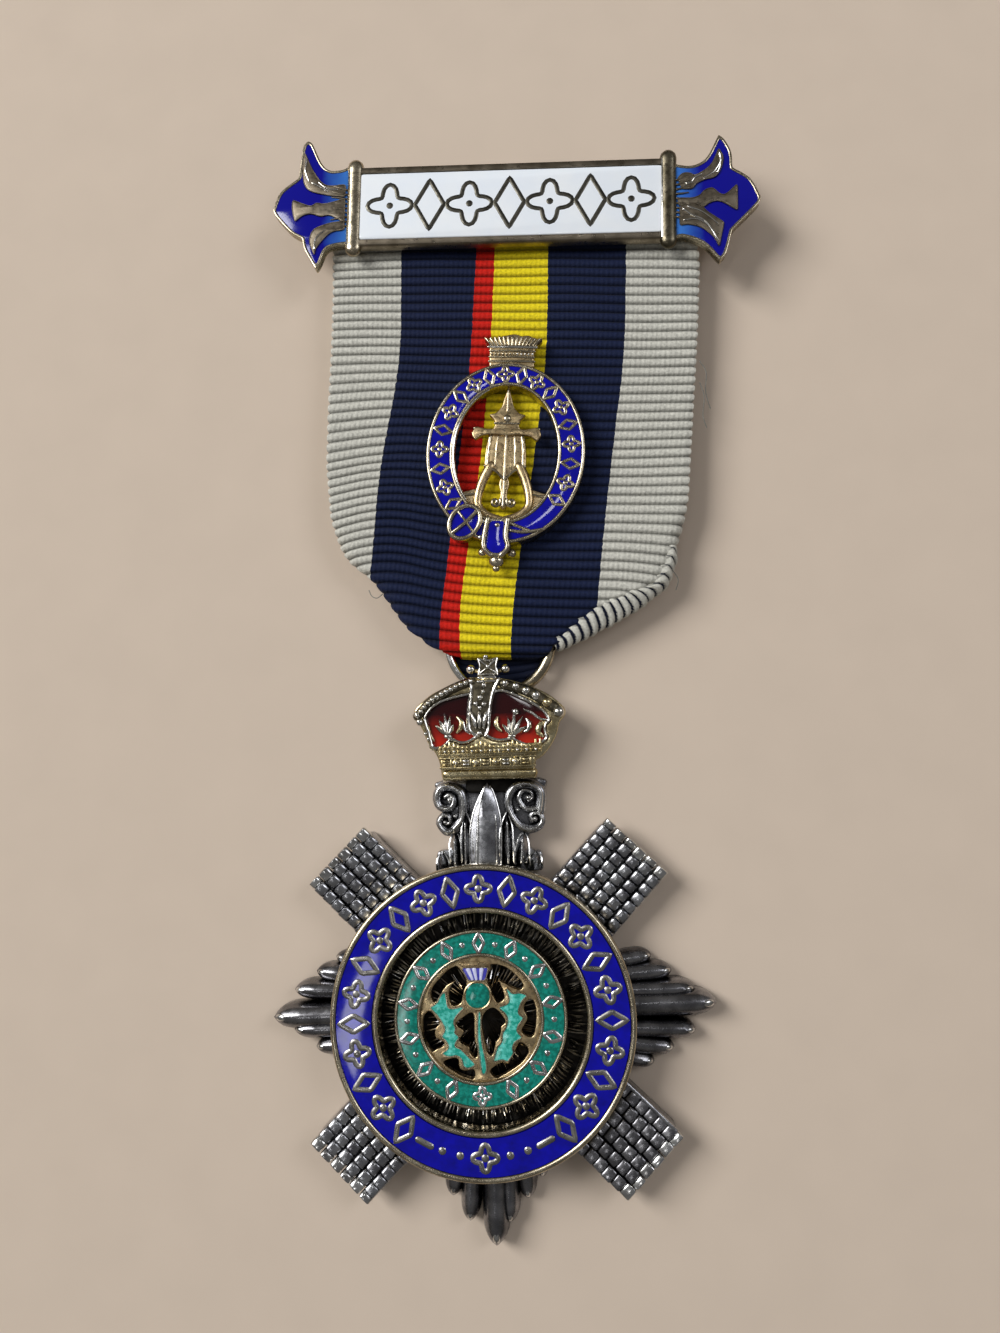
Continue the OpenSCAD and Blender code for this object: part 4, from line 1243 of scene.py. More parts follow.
@dataclass
class Thistle:
    """Pierced gilt plate in the middle of the green ring, with a thistle in enamel."""

    at: Pair = MEDALLION_AT
    reach: float = 5.55
    z0: float = 3.1
    z1: float = 4.0
    piercings: tuple = (
        ((-2, 4.6, 1), (-2.9, 4.2), (-4.4, 2.6), (-4.3, 1.5), (-3.9, 1.6), (-3.1, 2.8), (-2.2, 3.3, 1),
         (-2.8, 2.5), (-2.7, 1.3), (-2.2, 1.1), (-1.7, 1.4), (-1.6, 1.9), (-1.2, 3.2)),
        ((-5.2, 0.1), (-4.6, 0.7), (-4, 0), (-3.7, -0.4), (-4.1, -0.9), (-4.1, -1.6), (-3.4, -2),
         (-3.4, -2.4), (-4, -2.6), (-4.5, -2.8), (-5.2, -1.5)),
        ((-2.3, -0.4, 1), (-1.6, 0.1), (-0.9, 0.5), (-0.6, 0.2), (-0.6, -1.6), (-0.4, -2.6), (-0.4, -3.3),
         (-0.7, -3.4), (-1.1, -2.9), (-1.1, -2.5), (-2, -2), (-1.6, -1.3), (-1.6, -1), (-2, -0.8)),
        ((0.3, 0.4), (1.2, 0.9), (2.1, 0), (2.2, -0.5), (1.8, -0.7), (1.8, -1.1), (1.6, -1.8), (1.3, -2.1),
         (1, -3.2), (0.6, -3.1), (0.4, -2.6), (0.1, -0.7)),
        ((1, 4.7, 1), (1.8, 4.6), (2.7, 4.2), (3.9, 2.9), (3.4, 2.4), (1.7, 3.3, 1), (2.2, 1.8), (1.6, 1.3),
         (1.2, 1.8), (0.6, 3.5), (1, 4.2)),
        ((4.5, 1.6), (4.8, 1.4), (5, 0.4), (4.8, -1.3), (4.4, -1.7), (3.6, -1.2), (4.2, -0.1), (3.9, 0.6),
         (4, 1.2)),
        ((3.5, -2.1), (4, -2.4), (4.2, -2.8), (4.1, -3.2), (3.4, -4), (1.7, -5), (1.1, -5.1), (0.7, -4.5),
         (1.8, -3.8), (2.4, -3.9), (3.2, -2.4)),
        ((-3.5, -3.8), (-2.2, -3.4), (-2, -4.3), (-1.4, -4.5), (-0.7, -4.4), (-0.7, -5.2), (-1.3, -5.1),
         (-2.1, -4.8)))
    left_leaf: tuple = (
        (-4.5, 1, 1), (-3.9, 1.3), (-3.5, 2), (-3.2, 2.3, 1), (-3, 1), (-2.5, 0.8), (-1.5, 1, 1), (-2.3, 0.2),
        (-2.5, -0.4), (-2.3, -0.9, 1), (-2.5, -1.2), (-2, -1.6, 1), (-2.4, -2.1), (-2.4, -2.5), (-1.9, -2.7),
        (-0.6, -4, 1), (-1.3, -4.2), (-1.6, -4), (-1.7, -3.5), (-2.2, -3.1), (-2.9, -3.2), (-3.5, -3, 1),
        (-2.9, -2.6), (-3, -2), (-3.5, -1.5, 1), (-3.2, -1.1), (-3.2, -0.7), (-3.8, 0.3))
    right_leaf: tuple = (
        (1.7, 0.9, 1), (2.4, 1.1), (2.7, 1.6), (2.4, 2.6, 1), (2.9, 2), (3.5, 2.1), (4.2, 1.9, 1), (3.7, 1.5),
        (3.3, 0.4), (3.8, 0, 1), (3.1, -1), (3.6, -1.7, 1), (3, -2), (2.7, -2.5), (2.8, -3, 1),
        (2.3, -3.7, 1), (1.8, -3.5), (1.1, -3.7, 1), (1.5, -2.5, 1), (1.9, -2.1), (2, -1.3, 1), (2.3, -0.9),
        (2.5, -0.2), (2.3, 0.4))
    stem: tuple = (
        (-0.2, 0.6, 1), (0, 0.6, 1), (0, -1.8), (0.4, -4), (0.3, -4.8, 1), (0, -4.8, 1), (-0.3, -1.8))
    bloom: tuple = ((-1.6, 4.4, 1), (0.8, 4.4, 1), (0.5, 3.3, 1), (-1, 3.3, 1))
    flutes: tuple = (((-1.0, 4.25), (-0.65, 3.4)), ((-0.47, 4.3), (-0.3, 3.4)), ((0.2, 4.25), (0.1, 3.4)))
    head: Pair = (-0.22, 1.97)
    head_r: float = 1.1

    def build(self) -> None:
        """Builds the plate, leaves, stem and bloom."""
        plate = Shell()
        holes = [placed(smoothed(h), self.at) for h in self.piercings]
        plate.plate(circle(self.reach, 120, self.at), self.z0, self.z1, 0.07, holes)
        head = placed([self.head], self.at)[0]
        plate.wire(circle(self.head_r + 0.1, 40, head), self.z1, 0.1, closed=True)
        cap = smoothed(
            [(-1.84, 4.85, 1), (-1.44, 4.47), (-0.51, 4.4), (0.41, 4.45), (0.94, 4.8, 1), (-0.5, 4.98)], 4)
        plate.plate(anticlockwise(placed(cap, self.at)), self.z1 - 0.1, self.z1 + 0.16, 0.06)
        for outline, more in ((self.left_leaf, 0.08), (self.right_leaf, 0.08), (self.stem, 0.03),
                              (self.bloom, 0.03)):
            edge = placed(grown(closed_curve(outline), more), self.at)
            plate.wire(eased(edge, 0.16), self.z1 + 0.03, 0.09, sides=6, closed=True, slot=1)
        plate.build("thistle_plate", [BRONZED, GILT], ["medallion_frame"])
        for side, outline in (("left", self.left_leaf), ("right", self.right_leaf)):
            leaf = Shell()
            leaf.plate(placed(grown(closed_curve(outline), 0.06), self.at), self.z1 - 0.15, self.z1 + 0.06,
                       0.04)
            leaf.build(f"thistle_leaf_green_{side}", [TURQUOISE], [f"thistle_leaf_{side}"])
        stalk = Shell()
        stalk.plate(placed(smoothed(self.stem), self.at), self.z1 - 0.15, self.z1 + 0.05, 0.04)
        stalk.pebble(
            (*head, self.z1 - 0.05), (self.head_r, self.head_r, 0.2), square=0.8, rows=10, columns=32, slot=1)
        stalk.build("thistle_stalk", [TURQUOISE, GREEN], ["thistle_stem"])
        bloom = Shell()
        bloom.plate(placed(smoothed(self.bloom), self.at), self.z1 - 0.15, self.z1 + 0.06, 0.05)
        for ends in self.flutes:
            path = placed(resampled(np.array(ends), 6), self.at)
            bloom.wire(path, self.z1 + 0.05, np.linspace(0.2, 0.12, 6), flat=0.5, slot=1)
        bloom.build("thistle_flower", [VIOLET, PALE_VIOLET], ["thistle_bloom"])


# The crown


@dataclass
class Crown:
    """Gilt crown with two red cells, beaded arches, a jewelled band and circlet, cross and base bar."""

    back: float = 2.5
    bed: float = 3.2
    face: float = 4.05
    outline: tuple = (
        (4.9, 20.9, 1), (4.8, 22.4), (5.5, 22.9), (6.3, 23.8), (6.9, 24.9), (7.2, 26), (7.7, 26.6),
        (7.6, 27.4), (5.9, 28.8), (2.7, 30.1), (-1, 30.4), (-3.8, 29.4), (-5.2, 28.6), (-6.4, 27.3),
        (-5.6, 25.7), (-5.2, 24.6), (-4.2, 23), (-3.8, 20.9, 1))
    cell_left: tuple = (
        (-1, 28.9, 1), (-3.4, 28.4), (-4.7, 27.7), (-5.4, 26.8, 1), (-4.8, 24.7), (-4.7, 24, 1), (-4.1, 23.9),
        (-3.5, 24.2), (-2.9, 24.8, 1), (-2.2, 24.4), (-1.4, 24.4), (-0.3, 25, 1), (-1.2, 25.3), (-1.3, 26.6))
    cell_right: tuple = (
        (1.2, 29, 1), (2.3, 29), (5.1, 27.6), (6, 26.7), (6.3, 26.1, 1), (5.9, 25.9), (5.8, 25.2),
        (6, 24.5, 1), (5.1, 24), (4, 24), (2.7, 24.6, 1), (1.4, 24.5), (0, 25.1, 1), (0.6, 25.5), (0.9, 27.8))
    arch_left: tuple = ((-0.9, 30), (-2.2, 29.6), (-4.6, 28.4), (-6, 27))
    arch_right: tuple = ((2.1, 29.7), (4.6, 28.8), (6.8, 27.3))
    beads_left: int = 13
    beads_right: tuple = (
        (2.3, 29.72, 0.33), (3.25, 29.42, 0.34), (4.2, 28.98, 0.38), (5.1, 28.5, 0.42), (6.1, 27.8, 0.47),
        (7.15, 26.9, 0.56))
    curl_balls: tuple = ((-6.02, 27.1, 0.4), (-5.85, 26.4, 0.36), (-5.3, 25.3, 0.2), (-5.05, 24.8, 0.2))
    band_left: tuple = ((-1, 30.1), (-0.9, 28.9), (-1.2, 26.3), (-1, 25.3), (-0.4, 24.9))
    band_right: tuple = ((0.3, 24.9), (0.6, 25.5), (0.8, 27.6), (1.1, 28.9), (1.7, 30.1))
    sprays: tuple = (
        ((-3.2, 24.95), ((-4.45, 26.1), (-4.05, 26.6), (-3.5, 27.1), (-2.95, 26.9), (-2.6, 26.1))),
        ((2.75, 24.8), ((1.85, 26.0), (2.4, 26.6), (3.1, 27.1), (3.8, 26.6), (4.15, 25.7))))
    crescents: tuple = (
        (((-2.3, 26.75), (-1.95, 26.3), (-2.0, 25.7), (-2.35, 25.3)), 0.26, 0),
        (((-1.75, 26.4), (-1.62, 25.6), (-1.3, 25.2)), 0.13, 1),
        # This thin silver arc on the right cell is a painted highlight
        (((3.95, 27.25), (4.75, 26.85), (5.35, 26.35), (6.05, 26.2)), 0.14, 1),
        (((1.45, 26.6), (1.3, 26.1), (1.45, 25.6), (1.8, 25.3)), 0.25, 0),
        (((4.15, 26.35), (4.4, 25.85), (4.2, 25.3), (3.9, 25.2)), 0.24, 1),
        (((5.8, 26.0), (5.35, 25.7), (5.2, 25.1), (5.6, 24.7)), 0.3, 0),
        (((-5.0, 26.0), (-4.85, 25.2), (-4.5, 24.6)), 0.12, 0))
    cross: Pair = (0.69, 31.38)
    metal: Shell = field(default_factory=Shell)

    def build(self) -> None:
        """Builds the crown's metal and its two cells."""
        rim = smoothed(self.outline)
        cells = [closed_curve(c, 5) for c in (self.cell_left, self.cell_right)]
        self.metal.plate(grown(rim, -0.1), self.back, 3.25, 0.05)
        self.metal.plate(rim, self.back, self.face, 0.18, [grown(c, 0.1) for c in cells])
        for cell in cells:
            self.metal.wire(eased(cell, 0.2), 4.14, 0.15, closed=True, slot=1)
        self.arches()
        self.band()
        self.circlet()
        self.finial()
        self.ornaments()
        self.metal.build("crown_metal", [BRIGHT_GILT, BRIGHT_SILVER_AND_GLINT, SMOKED_AND_SHADED], ["crown_frame"], crease=45)
        for cell, side in zip(cells, ("left", "right")):
            glass = Shell()
            glass.plate(grown(cell, 0.06), self.bed, 3.9, 0.12)
            glass.build(f"crown_glass_{side}", [RED], [f"crown_enamel_{side}"])

    def arches(self) -> None:
        """Rounded arch on each side: small beads on the left, and growing ones on the right."""
        for points, thick in ((self.arch_left, (0.46, 0.52)), (self.arch_right, (0.46, 0.6))):
            path = spaced(open_curve(points, 8), 0.2)
            t = np.linspace(0, 1, len(path))
            self.metal.wire(path, 4.0 - 0.25 * t, np.linspace(*thick, len(path)), sides=14, slot=2)
        beads = resampled(open_curve(self.arch_left, 8), self.beads_left)
        for k, (x, y) in enumerate(beads):
            self.metal.pebble((x, y, 4.5 - 0.02 * k), (0.25, 0.25, 0.26), slot=1)
        for k, (x, y, r) in enumerate(self.beads_right):
            self.metal.pebble((x, y, 4.5 - 0.09 * k), (r, r, r * 0.9), slot=int(k != 4), rows=12, columns=18)
        for x, y, r in self.curl_balls:
            self.metal.pebble((x, y, 3.95), (r, r, r * 0.9), slot=1, rows=10, columns=16)

    def band(self) -> None:
        """Upright band between the cells, with pearls and leaf drops."""
        edge = [(x, y, int(y > 30)) for x, y in (*self.band_left, *self.band_right)]
        self.metal.plate(smoothed(edge), self.bed, 4.3, 0.2, slot=2)
        for points in (self.band_left, self.band_right):
            path = spaced(open_curve(points, 5), 0.2)
            self.metal.wire(path, 4.3, 0.17, slot=1)
        for x, y, r in ((0.3, 29.6, 0.26), (0.2, 29.0, 0.2), (-0.1, 28.45, 0.3), (-0.5, 27.9, 0.25),
                        (0.25, 27.85, 0.25), (-0.15, 27.5, 0.22), (-0.2, 25.15, 0.26)):
            self.metal.pebble((x, y, 4.42), (r, r, r), slot=1)
        for x, turn in ((-0.72, 14), (-0.2, 0), (0.3, -12)):
            self.metal.pebble((x, 26.35, 4.4), (0.22, 0.88, 0.34), turn, slot=1, rows=10)

    def circlet(self) -> None:
        """Beaded and jewelled rows of the circlet, the groove between them, and the polished bar below."""
        for x0, x1, y0, y1 in ((-4.15, 5.5, 23.25, 24.15), (-3.95, 4.85, 22.0, 22.95)):
            body = placed(rounded_box((x1 - x0) / 2, (y1 - y0) / 2, 0.25), ((x0 + x1) / 2, (y0 + y1) / 2))
            self.metal.plate(body, self.bed, 4.3, 0.16)
        for x0, x1, y, r in ((-3.9, 4.8, 22.05, 0.12), (-3.9, 4.8, 22.92, 0.12), (-4.0, 5.4, 23.3, 0.08)):
            self.metal.wire([(x0, y), ((x0 + x1) / 2, y), (x1, y)], 4.38, r)
        for k, x in enumerate(np.arange(-3.9, 5.4, 0.42)):
            # A bead under each upright flute of the scalloped row
            self.metal.pebble((x, 23.52, 4.36), (0.17, 0.17, 0.2), rows=8, columns=10, slot=k % 2)
            top = 24.42 - 0.5 * abs(math.sin((x + 3.0) * math.pi / 2.95)) * (x < 4.6)
            self.metal.wire([(x, 23.85), (x, (23.85 + top) / 2), (x, top)], 4.3, [0.15, 0.14, 0.12])
        for k, x in enumerate(np.arange(-3.4, 4.6, 0.92)):
            if k % 2:
                self.metal.pebble((x, 22.48, 4.36), (0.32, 0.32, 0.26), 45, square=0.5)
                self.metal.pebble((x, 22.48, 4.56), (0.13, 0.13, 0.12), rows=6, columns=8, slot=1)
            else:
                for y in (22.31, 22.65):
                    self.metal.pebble((x, y, 4.36), (0.4, 0.13, 0.2), slot=k % 4 // 2)
            self.metal.wire([(x + 0.46, 22.2), (x + 0.46, 22.48), (x + 0.46, 22.76)], 4.36, 0.09)
        self.metal.plate(placed(rounded_box(4.25, 0.35, 0.1), (0.55, 21.5)), 2.5, 3.4, 0.05)
        self.metal.wire(spaced(np.array([(-3.45, 21.48), (4.55, 21.42)]), 0.4), 3.75, 0.48, sides=20)

    def finial(self) -> None:
        """Orb, cross with raised edges, and the pearls beside it."""
        x, y = self.cross
        self.metal.pebble((0.6, 30.15, 4.05), (0.85, 0.5, 0.5), rows=12, columns=20)
        for rise, half, r in ((29.95, 0.85, 0.12), (30.3, 0.75, 0.14), (30.58, 0.6, 0.1)):
            self.metal.wire([(0.6 - half, rise), (0.6, rise + 0.06), (0.6 + half, rise)], 4.42, r, slot=1)
        self.metal.plate(placed(rounded_box(0.5, 0.75, 0.1), (x - 0.03, 30.9)), 2.6, 3.7, 0.05)
        box = [(0.95, 0.82, 1), (0.3, 0.62), (-0.3, 0.62), (-0.95, 0.82, 1), (-0.74, 0.0), (-0.95, -0.8, 1),
               (-0.3, -0.66), (0.3, -0.66), (0.95, -0.8, 1), (0.74, 0.0)]
        loop = placed(smoothed(box), (x, y))
        self.metal.plate(loop, 3.1, 4.0, 0.08, slot=2)
        self.metal.wire(eased(loop, 0.12), 4.02, 0.1, closed=True, slot=1)
        for side in (-1, 1):
            self.metal.wire(
                placed([(-0.72, side * 0.6), (0, 0), (0.72, -side * 0.6)], (x, y)), 4.02, 0.1, slot=1)
        self.metal.pebble((x, y, 4.08), (0.24, 0.24, 0.2), slot=1)
        for px, py in ((-0.94, 31.22), (2.3, 31.16)):
            self.metal.pebble((px, py, 3.6), (0.43, 0.43, 0.43), rows=12, columns=18, slot=1)
            self.metal.wire([(px, py), (x, 30.75)], 3.3, 0.18)
        self.metal.pebble((0.5, 32.32, 3.9), (0.27, 0.27, 0.27), slot=1)
        self.metal.wire([(0.5, 32.3), (0.62, 31.6)], 3.7, 0.16)

    def ornaments(self) -> None:
        """Silver leaf sprays, and gilt and silver crescents that stand on the red cells; one thin silver arc
        is a painted highlight.
        """
        for root, tips in self.sprays:
            for tip in tips:
                near = np.array(root) * 0.97 + np.array(tip) * 0.03
                path = resampled(np.array((near, tip)), 12)
                shape = leaf_half(12, 0.27, 0.4, 0.6, 2.6)
                self.metal.blade(path, shape, np.full(12, 4.35), np.full(12, 3.85), crease=0.05, slot=1)
            self.metal.pebble((*root, 4.15), (0.42, 0.24, 0.24), slot=1)
        self.metal.pebble((3.15, 27.05, 4.1), (0.34, 0.34, 0.3), slot=1)
        for points, r, slot in self.crescents:
            path = spaced(open_curve(points, 5), 0.15)
            t = np.linspace(-1, 1, len(path))
            self.metal.wire(path, 4.05, r * (1.05 - 0.6 * t * t), sides=10, slot=slot)


# Ring and ribbon


@dataclass
class JumpRing:
    """Wire ring with a soldered joint that links the crown to the ribbon."""

    at: tuple[float, float, float] = (1.65, 34.0, 1.7)
    radius: float = 4.95
    wire: float = 0.54

    def build(self) -> None:
        """Builds the ring of two bent wires: thin and bright on the left, stout and gilt on the right."""
        shell = Shell()
        for start, end, wire, slot in ((98, 262, 0.8, 0), (-100, 100, 1.0, 1)):
            a = np.radians(np.linspace(start, end, 80))
            swell = 1 - 0.12 * np.abs(np.linspace(-1, 1, 80)) ** 3
            path = np.stack([self.at[0] + self.radius * np.cos(a), self.at[1] + self.radius * np.sin(a),
                             np.full(80, self.at[2])], 1)
            shell.tube(path, self.wire * wire * swell, sides=16, slot=slot)
        shell.build("wire_ring", [BRIGHT_SILVER_AND_GLINT, GILT], ["jump_ring"])


@dataclass
class Ribbon:
    """Corded silk ribbon: a closed band round the rail and through the ring, its low corners folded back."""

    pitch: float = 0.93
    per_rib: int = 6
    columns: int = 64
    inner_columns: int = 26
    rib: float = 0.25
    cloth: float = 0.62
    middle: float = 1.65
    turn: float = 1.5
    head_y: float = 76.05
    foot_y: float = 34.0
    width: float = 37.6
    length: float = 98.0
    outer_stripe: float = 7.1
    loose_thread: float = 0.045
    fold_low: float = 1.75
    fold_high: float = 2.4
    fold_pitch: float = 0.9
    fold_per_rib: int = 14
    silk: Shell = field(default_factory=Shell)
    # Height, left edge and right edge of the front, and then of the back
    front: tuple = (
        (33.0, -4.9, 6.9), (33.8, -5.45, 7.7), (35.1, -6.8, 9.45), (36.5, -7.85, 11.4), (37.4, -8.4, 13.3),
        (38.2, -8.95, 15.2), (38.6, -9.2, 17.2), (40.4, -10.4, 18.1), (41.3, -11.6, 18.5),
        (42.3, -12.8, 18.95), (44.0, -13.65, 19.6), (46.6, -14.35, 20.2), (52, -14.75, 20.8),
        (58, -14.55, 21.45), (64, -14.2, 22.05), (70, -13.9, 22.55), (78, -13.9, 22.6))
    back: tuple = (
        (33.0, -2.2, 5.5), (34.5, -2.4, 5.8), (47.3, -13.2, 19.0), (60.0, -13.7, 20.6), (78, -13.95, 22.5))
    # Where across the ribbon a rib's height is measured
    pivot: float = 3.0
    # Height, and where each of the five borders between stripes lies
    stripe_rows: tuple = (
        (32.6, -11.4, -4.0, -1.9, 2.84, 10.7), (34.9, -11.5, -4.09, -2.16, 2.97, 10.9),
        (37.6, -10.98, -3.56, -1.79, 3.25, 11.2), (43.0, -10.15, -2.74, -0.91, 4.2, 11.9),
        (51.7, -9.4, -1.63, 0.61, 5.76, 13.2), (62.0, -7.15, -0.19, 1.79, 7.35, 14.87),
        (74.0, -6.85, 0.73, 2.63, 7.9, 15.55))
    # Places across the ribbon, and for each height the slope of a rib at each of them in degrees
    slope_x: tuple = (-12, -6, 0, 6, 12, 18)
    slope_rows: tuple = (
        (33, 6, -10, -5, -3, -3, -18), (35, 8, -13, -6, -4, -3, -20), (40, 12, -17, -7, -4, -3, -15),
        (46, 12, -13, -6, -4, -3, -4), (52, 8, -6, -5, -4, -4, -1), (62, -3, -5, -4.5, -4, -5, -2.5),
        (72, 0, -3.5, -3.5, -3.5, -5, -5), (76, *(BAR_TURN,) * 6))
    # Inner and outer edge of the rolled fold, from its top down
    fold: tuple = (
        ((18.6, 42.4), (18.95, 42.3)), ((17.9, 40.4), (18.4, 40.2)), ((16.9, 38.7), (17.6, 38.6)),
        ((15.2, 38.2), (16.4, 37.6)), ((13.3, 37.4), (14.2, 36.2)), ((11.4, 36.5), (12.1, 35.15)),
        ((9.45, 35.1), (10.1, 34.15)), ((7.9, 33.95), (8.4, 33.35)), ((7.0, 33.3), (7.3, 32.75)))

    def build(self) -> bpy.types.Object:
        """Builds the band, its folded corners and loose threads.

        Returns:
            The ribbon.
        """
        self.band()
        self.fold_roll()
        self.corners()
        self.hollow()
        ribbon = self.silk.build("ribbon_silk", [SILK], ["ribbon"], crease=60)
        threads = Shell()
        for points in (((-9.3, 38.9, 3.2), (-9.9, 38.6, 2.9), (-10.5, 38.9, 2.4), (-10.9, 39.6, 1.9)),
                       ((22.0, 60.5, 3.1), (22.6, 59.4, 2.9), (22.5, 57.6, 2.5), (22.9, 56.0, 2.2)),
                       ((21.9, 58.3, 3.1), (22.3, 57.0, 2.8), (22.1, 55.2, 2.6), (22.4, 54.0, 2.5)),
                       ((18.3, 40.1, 3.0), (18.9, 39.2, 2.5), (18.7, 38.3, 2.0))):
            rows = np.array(points)
            path = np.column_stack([open_curve(rows[:, :2]), open_curve(rows[:, 1:])[:, 1]])
            threads.tube(path, self.loose_thread, sides=6)
        loose = threads.build("loose_threads", [SILK], ["ribbon"])
        return ribbon

    @staticmethod
    def edges(y: Array, table: Array) -> tuple[Array, Array]:
        """Left and right edge at each height."""
        return np.interp(y, table[:, 0], table[:, 1]), np.interp(y, table[:, 0], table[:, 2])

    def drop(self, y: Array, x: Array) -> Array:
        """How far a rib that crosses the pivot at height y lies above that height at x.

        Args:
            y: Heights at the pivot.
            x: Places across the ribbon.

        Returns:
            One rise for each place.
        """
        rows = np.array(self.slope_rows)
        start, step = -16.0, 0.25
        fine = start + step * np.arange(161)
        out = np.zeros(np.broadcast(y, x).shape)
        flat_y, flat_x = np.broadcast_to(y, out.shape).ravel(), np.broadcast_to(x, out.shape).ravel()
        seen, back = np.unique(np.round(flat_y, 3), return_inverse=True)
        lines = []
        for height in seen:
            here = [np.interp(height, rows[:, 0], np.tan(np.radians(rows[:, k + 1]))) for k in range(6)]
            steep = np.interp(fine, self.slope_x, here)
            line = np.concatenate([[0], np.cumsum((steep[1:] + steep[:-1]) / 2 * np.diff(fine))])
            lines.append(line - np.interp(self.pivot, fine, line))
        lines = np.array(lines)
        at = np.clip((flat_x - start) / step, 0, len(fine) - 1.001)
        low = at.astype(int)
        part = at - low
        return (lines[back, low] * (1 - part) + lines[back, low + 1] * part).reshape(out.shape)

    def stripe(self, x: Array, y: Array) -> Array:
        """Share of the cloth's width at a point, which gives its stripe.

        Args:
            x: Places across the ribbon.
            y: Their heights.

        Returns:
            Shares from 0 at the left edge to 1 at the right one.
        """
        rows = rounded_table(self.stripe_rows, 4.0)
        knots = [np.interp(y, rows[:, 0], rows[:, k]) for k in range(1, 6)]
        knots = [knots[0] - self.outer_stripe, *knots, knots[-1] + self.outer_stripe]
        marks = (*[start for start, _ in STRIPES], 1.0)
        return sum(np.clip((x - knots[k]) / (knots[k + 1] - knots[k]), 0, 1) * (marks[k + 1] - marks[k])
                   for k in range(6))

    def band(self) -> None:
        """Adds the closed band: front, fold through the ring, back, and the turn round the rail."""
        straight = self.head_y - self.foot_y
        total = 2 * straight + 2 * math.pi * self.turn
        ribs = round(total / self.pitch)
        count = ribs * self.per_rib
        t = np.arange(count) * total / count
        half = math.pi * self.turn
        low = np.clip((t - straight) / self.turn, 0, math.pi)
        high = np.clip((t - 2 * straight - half) / self.turn, 0, math.pi)
        up = np.clip(t - straight - half, 0, straight)
        y = self.head_y - np.clip(t, 0, straight) - self.turn * np.sin(low) * (low < math.pi) + up
        y += self.turn * np.sin(high)
        facing = np.where(high > 0, -np.cos(high), np.cos(low))
        lie = np.where(high > 0, np.sin(high), -np.sin(low))
        z = self.middle + self.turn * facing
        rng = np.random.default_rng(3)
        phase = (t / total * ribs) % 1
        number = (t / total * ribs).astype(int) % ribs
        height = self.rib * rng.uniform(0.88, 1.08, ribs)[number]
        relief = np.sin(math.pi * phase) ** 0.62
        on_front = t < straight
        front_edges, back_edges = rounded_table(self.front, 0.8), rounded_table(self.back, 0.8)
        grids, cloths = [], []
        for outer, columns in ((True, self.columns), (False, self.inner_columns)):
            s = np.linspace(0, 1, columns + 1)
            s = 0.5 - 0.5 * np.sign(0.5 - s) * (1 - (1 - np.abs(1 - 2 * s)) ** 1.15) if outer else s[::-1]
            x = np.full((count, columns + 1), self.pivot)
            for _ in range(4):
                rib_y = y[:, None] + self.lean(t, straight, half, y, x)
                left_f, right_f = self.edges(rib_y, front_edges)
                left_b, right_b = self.edges(rib_y, back_edges)
                share = self.tuck(low)[:, None]
                left, right = left_f * (1 - share) + left_b * share, right_f * (1 - share) + right_b * share
                x = left + (right - left) * s[None, :]
            margin = 0.18 * (1 - relief)[:, None] + (0 if outer else 0.1)
            x = x + margin * (1 - 2 * s)[None, :]
            edge = np.minimum(s, 1 - s)[None, :] * (right - left)
            lift = (height * relief)[:, None] if outer else -self.cloth - 0.06 * relief[:, None]
            away = np.broadcast_to(lift, x.shape).copy()
            folded = np.clip((47 - rib_y) / 3, 0, 1) * on_front[:, None]
            away -= folded * 0.5 * np.clip(1 - edge / 1.3, 0, 1) ** 2 * (1 if outer else 0.6)
            away -= 0.1 * np.clip(1 - edge / 0.5, 0, 1) ** 2 * (1 if outer else -1)
            wave = 0.05 * np.sin(x * 0.55 + y[:, None] * 0.31) + 0.04 * np.sin(x * 0.23 - y[:, None] * 0.47)
            sag = np.interp(y, (46, 54, 62, 70), (0, 0.14, 0.12, 0)) * on_front
            grid = np.empty((count, columns + 1, 3))
            grid[:, :, 0] = x
            grid[:, :, 1] = rib_y + lie[:, None] * away
            sway = (wave - 0.06 - sag[:, None]) * on_front[:, None]
            grid[:, :, 2] = z[:, None] + facing[:, None] * away + sway
            grids.append(grid)
            cloths.append(
                np.stack([self.stripe(x, rib_y), np.broadcast_to((t / total * ribs)[:, None], x.shape)], -1))
        self.silk.sheet(np.concatenate(grids, 1), rows_close=True, uv=np.concatenate(cloths, 1))

    def lean(self, t: Array, straight: float, half: float, y: Array, x: Array) -> Array:
        """Rise of each rib from the pivot to each column.

        Args:
            t: Distance along the band.
            straight: Length of its front.
            half: Length of a turn.
            y: Height of each row at the pivot.
            x: Place of each column.

        Returns:
            Rows by columns of rises.
        """
        front = self.drop(np.clip(y, self.foot_y, self.head_y)[:, None], x)
        rail = math.tan(math.radians(BAR_TURN)) * (x - self.pivot)
        into = np.clip((t - straight) / half, 0, 1)[:, None]
        out = np.clip((t - straight - half) / straight, 0, 1)[:, None]
        return front * (1 - into) + rail * out * into

    @staticmethod
    def tuck(low: Array) -> Array:
        """Share of the way from the front's edges to the back's, through the lower turn."""
        return np.interp(low, np.radians((0, 35, 62, 80, 180)), (0, 0.15, 0.45, 1, 1))

